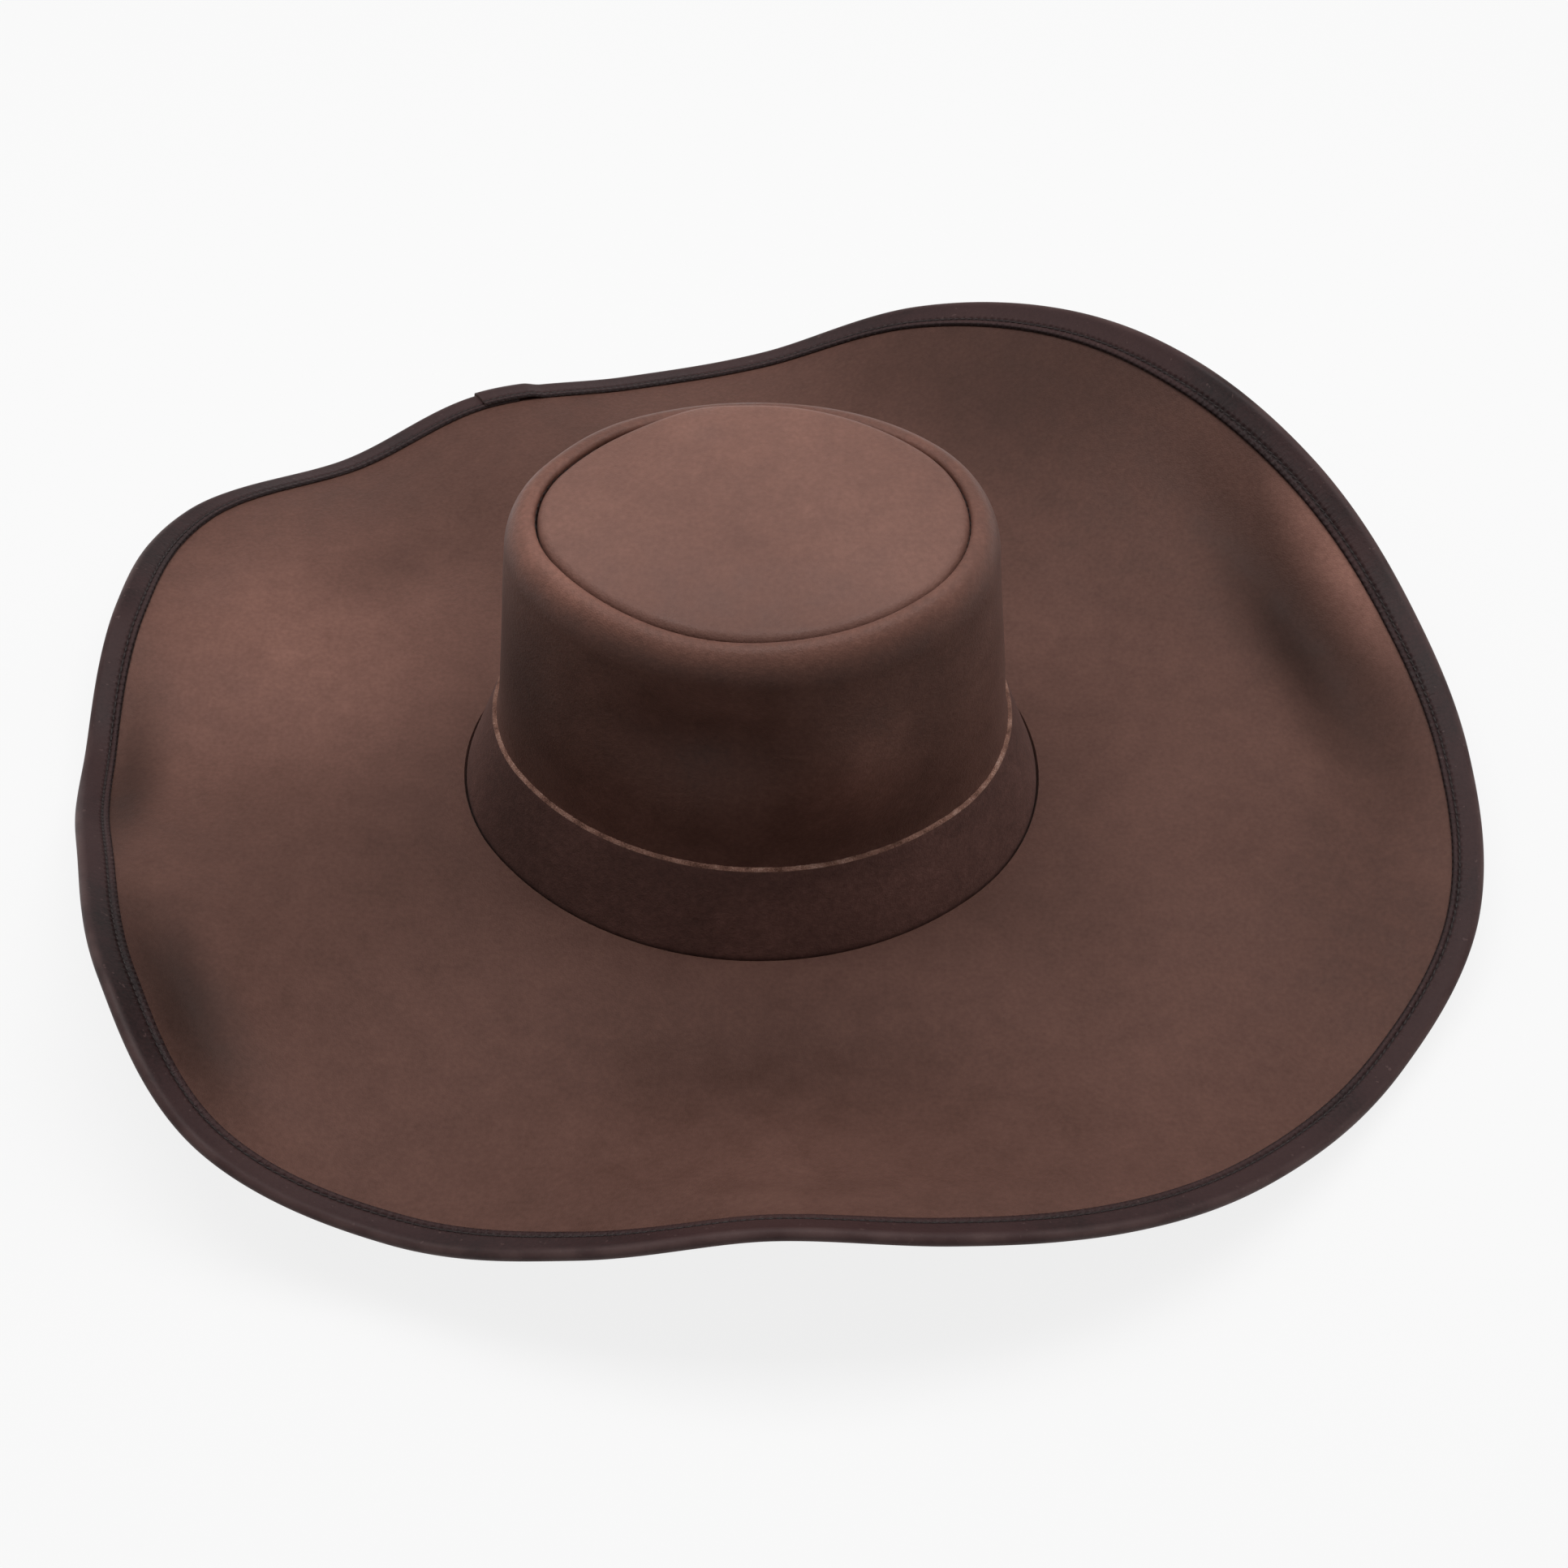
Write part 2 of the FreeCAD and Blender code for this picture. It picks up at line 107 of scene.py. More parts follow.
@dataclass(frozen=True)
class LeatherFinish:
    """Smooth, waxed leather with fine pores, cloudy dye and soft creases, and painted shade and painted light
    where patches are given.
    """

    name: str
    base: Colour
    dark: Colour
    light: Colour
    roughness: float = 0.5
    gloss: float = 0.17
    sheen: float = 0.02
    cloud_scale: float = 9.0
    cloud_share: float = 0.4
    mottle_share: float = 0.3
    speck_share: float = 0.36
    pore_scale: float = 1500.0
    pore_depth: float = 0.00016
    crease_scale: float = 110
    crease_depth: float = 0.00008
    nap: float = 0.0
    shades: tuple[Shade, ...] = ()

    def build(self) -> bpy.types.Material:
        """Make the material.

        Returns:
            A node material that reads object coordinates only.
        """
        graph = FinishGraph(self.name)
        spot = graph.add("ShaderNodeTexCoord").outputs["Object"]
        cloud = graph.noise(spot, self.cloud_scale, detail=4, distortion=0.6)
        mottle = graph.noise(spot, self.cloud_scale * 9, detail=6)
        speck = graph.noise(spot, self.pore_scale * 0.35, detail=3)
        tone = graph.blended((cloud, self.cloud_share), (mottle, self.mottle_share),
                             (speck, self.speck_share))
        colour = graph.ramp(tone, [(0.36, self.dark), (0.53, self.base), (0.70, self.light)])
        # painted shade and painted light from the given patches
        colour = graph.shaded(colour, spot, self.shades)
        pores = graph.voronoi(spot, self.pore_scale)
        crease = graph.noise(spot, self.crease_scale, detail=4)
        relief = graph.bump(crease, self.crease_depth, 0.35)
        relief = graph.bump(speck, self.pore_depth * 2, 0.5, relief)
        relief = graph.bump(pores, self.pore_depth, 0.6, relief)
        if self.nap:
            fibre = graph.noise(spot, 900, detail=6, distortion=2.0)
            relief = graph.bump(fibre, self.nap, 0.8, relief)
        satin = graph.span(mottle, 0.3, 0.7, self.roughness - 0.05, self.roughness + 0.07)
        return graph.finish(colour, satin, relief, self.sheen, self.gloss)


@dataclass(frozen=True)
class BindingFinish:
    """Thin, dark binding leather, paler along its fold, puckered and crossed by fine wrinkles at its seam."""

    name: str
    base: Colour
    dark: Colour
    light: Colour
    worn: Colour
    cover: float
    fold: float
    pitch: float
    rows: tuple[float, ...]
    roughness: float = 0.5

    def build(self) -> bpy.types.Material:
        """Make the material.

        Returns:
            A node material whose pattern follows the strip: along it, and across it from its top edge.
        """
        graph = FinishGraph(self.name)
        spot = graph.add("ShaderNodeTexCoord").outputs["Object"]
        along, across = graph.strip_pattern()
        cloud = graph.noise(spot, 14, detail=5)
        speck = graph.noise(spot, 700, detail=3)
        tone = graph.blended((cloud, 0.8), (speck, 0.2))
        colour = graph.ramp(tone, [(0.36, self.dark), (0.5, self.base), (0.66, self.light)])
        off_fold = graph.distance_from(across, self.cover + self.fold / 2)
        rubbed = graph.span(off_fold, self.fold * 0.1, self.fold * 0.62, 0.75, 0.0)
        patchy = graph.span(graph.noise(spot, 60, detail=5), 0.3, 0.65, 0.25, 1.0)
        colour = graph.mix(graph.maths("MULTIPLY", rubbed, patchy), colour, self.worn)
        dust = graph.span(graph.noise(spot, 420, detail=1), 0.71, 0.76, 0.0, 0.5)
        colour = graph.mix(dust, colour, self.worn)
        relief = graph.bump(graph.voronoi(spot, 1300), 0.00006, 0.5)
        relief = graph.bump(speck, 0.00018, 0.4, relief)
        stretched = graph.combine(graph.maths("MULTIPLY", along, 620), graph.maths("MULTIPLY", across, 90))
        wrinkle = graph.noise(stretched, 1.0, detail=4, distortion=0.5)
        for row in self.rows:
            off_row = graph.distance_from(across, row)
            near = graph.span(off_row, 0.0004, 0.0055, 1.0, 0.0)
            relief = graph.bump(graph.maths("MULTIPLY", wrinkle, near), 0.0008, 0.5, relief)
            pucker = graph.maths("SINE", graph.maths("MULTIPLY", along, math.tau / self.pitch))
            tight = graph.span(off_row, 0.0002, 0.0016, 1.0, 0.0)
            relief = graph.bump(graph.maths("MULTIPLY", pucker, tight), 0.00035, 0.6, relief)
            in_groove = graph.span(off_row, 0.0002, 0.0009, 0.8, 0.0)
            colour = graph.mix(in_groove, colour, self.dark)
        satin = graph.span(cloud, 0.3, 0.7, self.roughness - 0.06, self.roughness + 0.08)
        return graph.finish(colour, satin, relief, 0.0, 0.14)


@dataclass(frozen=True)
class RawEdgeFinish:
    """The cut edge of undyed-through leather: pale, fibrous and matt."""

    name: str
    base: Colour
    dark: Colour
    light: Colour

    def build(self) -> bpy.types.Material:
        """Make the material.

        Returns:
            A node material that reads object coordinates only.
        """
        graph = FinishGraph(self.name)
        spot = graph.add("ShaderNodeTexCoord").outputs["Object"]
        fibre = graph.noise(spot, 1600, detail=5, distortion=1.5)
        patch = graph.noise(spot, 130, detail=4)
        tone = graph.blended((fibre, 0.5), (patch, 0.5))
        colour = graph.ramp(tone, [(0.38, self.dark), (0.52, self.base), (0.66, self.light)])
        relief = graph.bump(fibre, 0.0006, 0.9)
        matt = graph.span(fibre, 0.3, 0.7, 0.8, 0.95)
        return graph.finish(colour, matt, relief, 0.1, 0.1)


@dataclass(frozen=True)
class ThreadFinish:
    """Waxed, twisted sewing thread."""

    name: str
    base: Colour
    light: Colour

    def build(self) -> bpy.types.Material:
        """Make the material.

        Returns:
            A node material that reads object coordinates only.
        """
        graph = FinishGraph(self.name)
        spot = graph.add("ShaderNodeTexCoord").outputs["Object"]
        twist = graph.noise(spot, 2400, detail=2, distortion=1.0)
        colour = graph.ramp(twist, [(0.4, self.base), (0.7, self.light)])
        relief = graph.bump(twist, 0.0002, 0.8)
        satin = graph.span(twist, 0.3, 0.7, 0.45, 0.65)
        return graph.finish(colour, satin, relief, 0.05, 0.3)


class FinishGraph:
    """Builds one material's nodes with short calls."""

    def __init__(self, name: str) -> None:
        """Start an empty material.

        Args:
            name: The material's name.
        """
        self.material = bpy.data.materials.new(name)
        self.material.use_nodes = True
        self.tree = self.material.node_tree
        self.tree.nodes.clear()

    def add(self, kind: str) -> bpy.types.Node:
        """Add a node of the given kind."""
        return self.tree.nodes.new(kind)

    def feed(self, socket: bpy.types.NodeSocket, source: object) -> None:
        """Link a socket, or set it where the source is plain.

        Args:
            socket: The input socket.
            source: An output socket, a number or a colour.
        """
        if isinstance(source, bpy.types.NodeSocket):
            self.tree.links.new(source, socket)
        elif isinstance(source, tuple):
            socket.default_value = (*source, 1.0)
        else:
            socket.default_value = source

    def noise(self, spot: bpy.types.NodeSocket, scale: float, detail: float = 2,
              distortion: float = 0) -> bpy.types.NodeSocket:
        """Add cloudy noise.

        Args:
            spot: Where to read it.
            scale: Clouds per metre, or per unit of the pattern.
            detail: How many finer layers it has.
            distortion: How much it swirls.

        Returns:
            The noise's value.
        """
        node = self.add("ShaderNodeTexNoise")
        self.feed(node.inputs["Vector"], spot)
        node.inputs["Scale"].default_value = scale
        node.inputs["Detail"].default_value = detail
        node.inputs["Distortion"].default_value = distortion
        return node.outputs["Fac"]

    def voronoi(self, spot: bpy.types.NodeSocket, scale: float) -> bpy.types.NodeSocket:
        """Add small rounded cells, the pattern of leather pores."""
        node = self.add("ShaderNodeTexVoronoi")
        self.feed(node.inputs["Vector"], spot)
        node.inputs["Scale"].default_value = scale
        return node.outputs["Distance"]

    def maths(self, operation: str, first: object, second: object = 0.0) -> bpy.types.NodeSocket:
        """Add a maths node and return its value."""
        node = self.add("ShaderNodeMath")
        node.operation = operation
        self.feed(node.inputs[0], first)
        self.feed(node.inputs[1], second)
        return node.outputs[0]

    def blended(self, *parts: tuple[bpy.types.NodeSocket, float]) -> bpy.types.NodeSocket:
        """Add up patterns, each times its share."""
        total, *others = (self.maths("MULTIPLY", pattern, share) for pattern, share in parts)
        for other in others:
            total = self.maths("ADD", total, other)
        return total

    def distance_from(self, value: bpy.types.NodeSocket, middle: float) -> bpy.types.NodeSocket:
        """How far a value lies from a number, either way."""
        return self.maths("ABSOLUTE", self.maths("SUBTRACT", value, middle))

    def span(self, source: bpy.types.NodeSocket, low: float, high: float, at_low: float,
             at_high: float) -> bpy.types.NodeSocket:
        """Map a range of values smoothly to another range, clamped at both ends.

        Args:
            source: The value to map.
            low: Start of its range.
            high: End of its range.
            at_low: Result at the start.
            at_high: Result at the end.

        Returns:
            The mapped value.
        """
        node = self.add("ShaderNodeMapRange")
        node.interpolation_type = "SMOOTHSTEP"
        self.feed(node.inputs["Value"], source)
        for name, number in (("From Min", low), ("From Max", high), ("To Min", at_low), ("To Max", at_high)):
            node.inputs[name].default_value = number
        return node.outputs["Result"]

    def ramp(self, source: bpy.types.NodeSocket, stops: list[tuple[float, Colour]]) -> bpy.types.NodeSocket:
        """Colour a value by stops from dark to light."""
        node = self.add("ShaderNodeValToRGB")
        self.feed(node.inputs["Fac"], source)
        points = node.color_ramp.elements
        while len(points) < len(stops):
            points.new(0.5)
        for point, (position, colour) in zip(points, stops):
            point.position = position
            point.color = (*colour, 1.0)
        return node.outputs["Color"]

    def mix(self, share: object, first: object, second: object) -> bpy.types.NodeSocket:
        """Mix two colours by a share from 0 to 1."""
        node = self.add("ShaderNodeMix")
        node.data_type = "RGBA"
        self.feed(node.inputs["Factor"], share)
        self.feed(node.inputs[6], first)
        self.feed(node.inputs[7], second)
        return node.outputs[2]

    def shaded(self, colour: object, spot: bpy.types.NodeSocket, shades: Iterable[Shade]) -> object:
        """Darken or lighten a colour by soft patches.

        Args:
            colour: The colour between the patches.
            spot: Object coordinates.
            shades: The patches, each fading out at its reach.

        Returns:
            The colour with the patches in it.
        """
        for shade in shades:
            place = self.add("ShaderNodeMapping")
            place.vector_type = "TEXTURE"
            self.feed(place.inputs["Vector"], spot)
            place.inputs["Location"].default_value = shade.centre
            place.inputs["Rotation"].default_value = (0.0, 0.0, math.radians(shade.heading))
            place.inputs["Scale"].default_value = shade.reach
            ball = self.add("ShaderNodeTexGradient")
            ball.gradient_type = "SPHERICAL"
            self.feed(ball.inputs["Vector"], place.outputs["Vector"])
            scaled = self.add("ShaderNodeVectorMath")
            scaled.operation = "SCALE"
            self.feed(scaled.inputs[0], colour)
            gain = self.span(ball.outputs["Fac"], 0.0, 1.0, 1.0, 1.0 + shade.strength)
            self.feed(scaled.inputs["Scale"], gain)
            colour = scaled.outputs["Vector"]
        return colour

    def combine(self, across: object, up: object) -> bpy.types.NodeSocket:
        """Join two values into a flat coordinate."""
        node = self.add("ShaderNodeCombineXYZ")
        self.feed(node.inputs["X"], across)
        self.feed(node.inputs["Y"], up)
        return node.outputs["Vector"]

    def strip_pattern(self) -> tuple[bpy.types.NodeSocket, bpy.types.NodeSocket]:
        """Read the strip's own pattern coordinates: metres along it and across it."""
        node = self.add("ShaderNodeUVMap")
        node.uv_map = "Pattern"
        parts = self.add("ShaderNodeSeparateXYZ")
        self.feed(parts.inputs["Vector"], node.outputs["UV"])
        return parts.outputs["X"], parts.outputs["Y"]

    def bump(self, height: object, depth: float, strength: float,
             under: bpy.types.NodeSocket | None = None) -> bpy.types.NodeSocket:
        """Add relief over any relief already there.

        Args:
            height: The height pattern, 0 to 1.
            depth: The pattern's depth in metres.
            strength: How strongly it bends the light.
            under: The relief it lies on.

        Returns:
            The bent normal.
        """
        node = self.add("ShaderNodeBump")
        self.feed(node.inputs["Height"], height)
        node.inputs["Distance"].default_value = depth
        node.inputs["Strength"].default_value = strength
        if under is not None:
            self.feed(node.inputs["Normal"], under)
        return node.outputs["Normal"]

    def finish(self, colour: object, roughness: object, relief: bpy.types.NodeSocket, sheen: float,
               gloss: float) -> bpy.types.Material:
        """Close the graph with its shader.

        Args:
            colour: The base colour.
            roughness: The roughness.
            relief: The bent normal.
            sheen: Weight of the soft sheen at glancing angles.
            gloss: How much the surface reflects, where 0.5 is plain varnish.

        Returns:
            The finished material.
        """
        shader = self.add("ShaderNodeBsdfPrincipled")
        self.feed(shader.inputs["Base Color"], colour)
        self.feed(shader.inputs["Roughness"], roughness)
        self.feed(shader.inputs["Normal"], relief)
        shader.inputs["Sheen Weight"].default_value = sheen
        shader.inputs["Sheen Roughness"].default_value = 0.45
        shader.inputs["Specular IOR Level"].default_value = gloss
        output = self.add("ShaderNodeOutputMaterial")
        self.feed(output.inputs["Surface"], shader.outputs["BSDF"])
        return self.material


# Forms that the leather is laid on

@dataclass(frozen=True)
class Dent:
    """A soft dent or swelling in a face: where it lies, how deep it is and how far it spreads."""

    turn: float
    place: float
    height: float
    turn_spread: float
    place_spread: float

    def at(self, turn: float, place: float) -> float:
        """How far it lifts the face.

        Args:
            turn: Direction round the hat, in degrees.
            place: Level or share of the width at which to read it.

        Returns:
            The lift in metres, below 0 in a dent.
        """
        round_off = ((turn - self.turn + 180) % 360 - 180) / self.turn_spread
        place_off = (place - self.place) / self.place_spread
        return self.height * math.exp(-round_off ** 2 - place_off ** 2)


@dataclass(frozen=True)
class HeadOval:
    """The outside of the crown at the waist: five tangent arcs, from the back of the hat anticlockwise."""

    length: float = 0.203
    width: float = 0.164
    front_radius: float = 0.060
    back_radius: float = 0.071
    cache: dict = field(default_factory=dict, compare=False, repr=False)

    @property
    def waist(self) -> float:
        """Half the oval's length."""
        return self.length / 2

    def arcs(self) -> list[tuple[Vector, float, float, float]]:
        """Work out the arcs.

        Returns:
            Each arc's centre, radius, and first and last heading in radians.
        """
        if "arcs" in self.cache:
            return self.cache["arcs"]
        front_centre, back_centre = self.waist - self.front_radius, self.waist - self.back_radius
        front_spare, back_spare = self.width / 2 - self.front_radius, self.width / 2 - self.back_radius
        ratio = back_spare / front_spare
        total = back_centre + front_centre * ratio
        rest = back_centre ** 2 - back_spare ** 2 - ratio * (front_centre ** 2 - front_spare ** 2)
        side_centre = rest / (total + math.sqrt(total ** 2 - (1 - ratio) * rest))
        drop = ((side_centre + front_centre) ** 2 - front_spare ** 2) / (2 * front_spare)
        side_radius = self.width / 2 + drop
        back_turn = math.atan2(drop, back_centre - side_centre)
        front_turn = math.atan2(drop, -front_centre - side_centre)
        self.cache["arcs"] = [
            (Vector((back_centre, 0, 0)), self.back_radius, 0.0, back_turn),
            (Vector((side_centre, -drop, 0)), side_radius, back_turn, front_turn),
            (Vector((-front_centre, 0, 0)), self.front_radius, front_turn, math.tau - front_turn),
            (Vector((side_centre, drop, 0)), side_radius, -front_turn, -back_turn),
            (Vector((back_centre, 0, 0)), self.back_radius, -back_turn, 0.0),
        ]
        return self.cache["arcs"]

    @property
    def girth(self) -> float:
        """The oval's length all round."""
        if "girth" not in self.cache:
            self.cache["girth"] = sum(radius * (last - first) for _, radius, first, last in self.arcs())
        return self.cache["girth"]

    def point(self, turn: float, outset: float, level: float) -> Vector:
        """A point at an even share of the girth, moved out square to the oval.

        Args:
            turn: Share of the girth from the back, where a full round is tau.
            outset: Distance outside the oval.
            level: Height.

        Returns:
            The point.
        """
        along = turn % math.tau / math.tau * self.girth
        for centre, radius, first, last in self.arcs():
            length = radius * (last - first)
            if along <= length:
                break
            along -= length
        heading = first + along / radius
        reach = radius + outset
        return centre + Vector((reach * math.cos(heading), reach * math.sin(heading), level))


# The brim's edge at 24 even stations from the back of the hat, anticlockwise: how high it stands over the
# flat of the brim, and how much wider than a true oval the brim was cut there, in millimetres.
BRIM_EDGE = (
    (12, 2), (24, -4), (45, -6), (55, -3), (43, 5), (20, 8), (-8, 1), (-15, -4),
    (-11, -3), (-16, -5), (-3, 11), (15, -1), (1, -6), (29, -8), (46, 4), (28, 8),
    (14, -5), (31, -5), (49, -1), (41, -3), (24, -6), (3, -9), (-8, -5), (2, 4),
)


@dataclass(frozen=True)
class BrimForm:
    """The brim's waved top face, from its seam with the crown to its cut edge."""

    oval: HeadOval
    leather: float = 0.0024
    seam_outset: float = 0.01555
    roll: float = 0.0016
    turned: float = 0.008
    length: float = 0.567
    width: float = 0.521
    shift: float = 0.0055
    fullness: float = 2.2
    lift_power: float = 2.4
    dents: tuple[Dent, ...] = ()
    cache: dict = field(default_factory=dict, compare=False, repr=False)

    def edge_row(self, turn: float, column: int) -> float:
        """Read a column of the edge table at any turn, on a smooth closed curve through its stations."""
        count = len(BRIM_EDGE)
        place = turn / math.tau * count % count
        first = int(place)
        part = place - first
        near = (BRIM_EDGE[(first + step) % count] for step in (-1, 0, 1, 2))
        before, start, end, after = (station[column] / 1000 for station in near)
        values = start * (1 - part) ** 2 * (1 + 2 * part) + end * part ** 2 * (3 - 2 * part)
        slopes = (end - before) / 2 * part * (1 - part) ** 2 - (after - start) / 2 * part ** 2 * (1 - part)
        return values + slopes

    def span(self, turn: float) -> tuple[Vector, Vector, float, float]:
        """How the face runs out at one turn.

        Args:
            turn: Share of the head oval's girth, where a full round is tau.

        Returns:
            The face's start, its run to the edge in plan, the edge's height and the heading in degrees.
        """
        key = round(turn, 7)
        if key not in self.cache:
            start = self.oval.point(turn, self.seam_outset + self.roll, 0)
            heading = math.atan2(start.y, start.x - self.shift)
            rise = self.edge_row(heading, 0)
            across = abs(math.cos(heading) / (self.length / 2)) ** self.fullness
            along = abs(math.sin(heading) / (self.width / 2)) ** self.fullness
            reach = (across + along) ** (-1 / self.fullness) + self.edge_row(heading, 1)
            edge = Vector((self.shift + reach * math.cos(heading), reach * math.sin(heading), 0))
            cut = edge - start
            drawn_in = self.lift_power ** 2 / (4 * self.lift_power - 2) * (rise / cut.length) ** 2
            self.cache[key] = (start, cut * (1 - drawn_in), rise, math.degrees(heading))
        return self.cache[key]

    def face(self, turn: float, share: float) -> Vector:
        """A point of the top face at a share of the way to the edge."""
        start, cut, rise, heading = self.span(turn)
        lift = rise * max(share, 0) ** self.lift_power
        lift += sum(dent.at(heading, share) for dent in self.dents)
        return start + cut * share + Vector((0, 0, lift))

    def frame_at(self, turn: float, share: float) -> tuple[Vector, Vector, Vector]:
        """A point of the top face, its upward normal and the direction towards the edge."""
        step = 0.001
        point = self.face(turn, share)
        outward = (self.face(turn, share + step) - point).normalized()
        onward = self.face(turn + step, share) - point
        return point, outward.cross(onward).normalized(), outward

    def off_face(self, turn: float, share: float, lift: float) -> Vector:
        """A point off the top face, square to it."""
        point, normal, _ = self.frame_at(turn, share)
        return point + normal * lift

    def round_edge(self, turn: float, angle: float, radius: float) -> Vector:
        """A point on a half circle round the cut edge: angle 0 is above it."""
        point, normal, outward = self.frame_at(turn, 1)
        centre = point - normal * (self.leather / 2)
        return centre + normal * (radius * math.cos(angle)) + outward * (radius * math.sin(angle))


# The hat's own hollows and swells, by heading in degrees: round the brim the place is a share of its width,
# in the wall and at the rim a level, and in the tip a distance from the waist's oval, below 0 inside it.
BRIM_DENTS = (
    Dent(14, 0.79, -0.0105, 19, 0.11),
    Dent(-150, 0.87, -0.0095, 12, 0.07),
    Dent(-176, 0.93, -0.0030, 10, 0.05),
    Dent(158, 0.88, -0.0030, 8, 0.10),
    Dent(142, 0.42, -0.0030, 16, 0.16),
    Dent(-80, 0.83, 0.0022, 16, 0.05),
    Dent(-98, 0.90, -0.0018, 14, 0.05),
)
WALL_DENTS = (
    Dent(-104, 0.098, -0.0085, 22, 0.022),
    Dent(-64, 0.086, 0.0050, 17, 0.028),
    Dent(-145, 0.075, 0.0030, 20, 0.026),
    Dent(-30, 0.070, 0.0015, 25, 0.030),
    Dent(165, 0.120, 0.0012, 30, 0.030),
)
RIM_DENTS = (
    Dent(88, 0.146, -0.0042, 48, 0.016),
    Dent(140, 0.146, 0.0010, 14, 0.012),
    Dent(-20, 0.146, 0.0012, 25, 0.016),
    Dent(-105, 0.146, -0.0018, 28, 0.014),
)
TIP_DENTS = (
    Dent(112, -0.030, 0.0024, 14, 0.012),
    Dent(80, -0.026, 0.0012, 34, 0.010),
    Dent(-88, -0.030, -0.0018, 55, 0.018),
)

# Painted shade and painted light on the brim: first painted shade in the hollow at the right and a painted
# highlight on the slope outside it, then painted shade in the hollows at the left, painted light over the far
# left, broad painted shade behind the crown and a painted shadow of the crown in front. A small darker patch
# at the far left and a broad darker patch at the right come last.
BRIM_PAINTED_LIGHT = (
    Shade((0.232, 0.064, 0.012), (0.034, 0.120, 0.07), -0.70, 24),
    Shade((0.254, 0.092, 0.031), (0.023, 0.085, 0.06), 1.60, 25),
    Shade((-0.213, -0.136, 0.028), (0.028, 0.085, 0.06), -0.68, 25),
    Shade((-0.254, -0.016, 0.010), (0.021, 0.080, 0.05), -0.60, 2),
    Shade((-0.200, 0.060, 0.004), (0.110, 0.120, 0.08), 0.70),
    Shade((0.120, 0.215, 0.030), (0.170, 0.090, 0.10), -0.42, -25),
    Shade((0.009, -0.145, 0.002), (0.130, 0.060, 0.06), -0.35),
    Shade((-0.164, 0.112, 0.000), (0.050, 0.030, 0.04), -0.22, 30),
    Shade((0.250, -0.070, 0.005), (0.060, 0.120, 0.08), -0.18),
)
# Painted light on the rim all round, more at the left and in front; painted shade in the wall's hollow and on
# its left side; and painted light on its right front.
CROWN_PAINTED_LIGHT = (
    Shade((0.0, 0.0, 0.152), (0.200, 0.200, 0.022), 0.75),
    Shade((-0.085, -0.040, 0.150), (0.070, 0.100, 0.022), 0.50),
    Shade((-0.026, -0.098, 0.100), (0.060, 0.050, 0.028), -0.35),
    Shade((0.0, -0.108, 0.146), (0.080, 0.040, 0.020), 0.40),
    Shade((-0.092, -0.025, 0.085), (0.050, 0.080, 0.070), -0.55),
    Shade((0.045, -0.082, 0.085), (0.036, 0.040, 0.042), 0.60),
)
# Painted shade at the tip's front edge and a little painted light behind its middle.
TIP_PAINTED_LIGHT = (
    Shade((0.0, -0.100, 0.146), (0.140, 0.080, 0.060), -0.45),
    Shade((0.0, 0.060, 0.150), (0.070, 0.050, 0.050), 0.15),
)
# Painted shade on the band at the left, painted light at its right front, and a paler front.
BAND_PAINTED_LIGHT = (
    Shade((-0.092, -0.040, 0.020), (0.060, 0.090, 0.060), -0.30),
    Shade((0.070, -0.085, 0.020), (0.060, 0.060, 0.050), 0.40),
    Shade((0.000, -0.115, 0.020), (0.080, 0.050, 0.050), 0.40),
)


# Strips of leather

@dataclass(frozen=True)
class Corner:
    """A corner of a strip's cross-section, and the kind of surface from it to the next corner."""

    across: float
    up: float
    side: Side = Side.GRAIN
    round_over: float = 0.0
    segments: int = 4


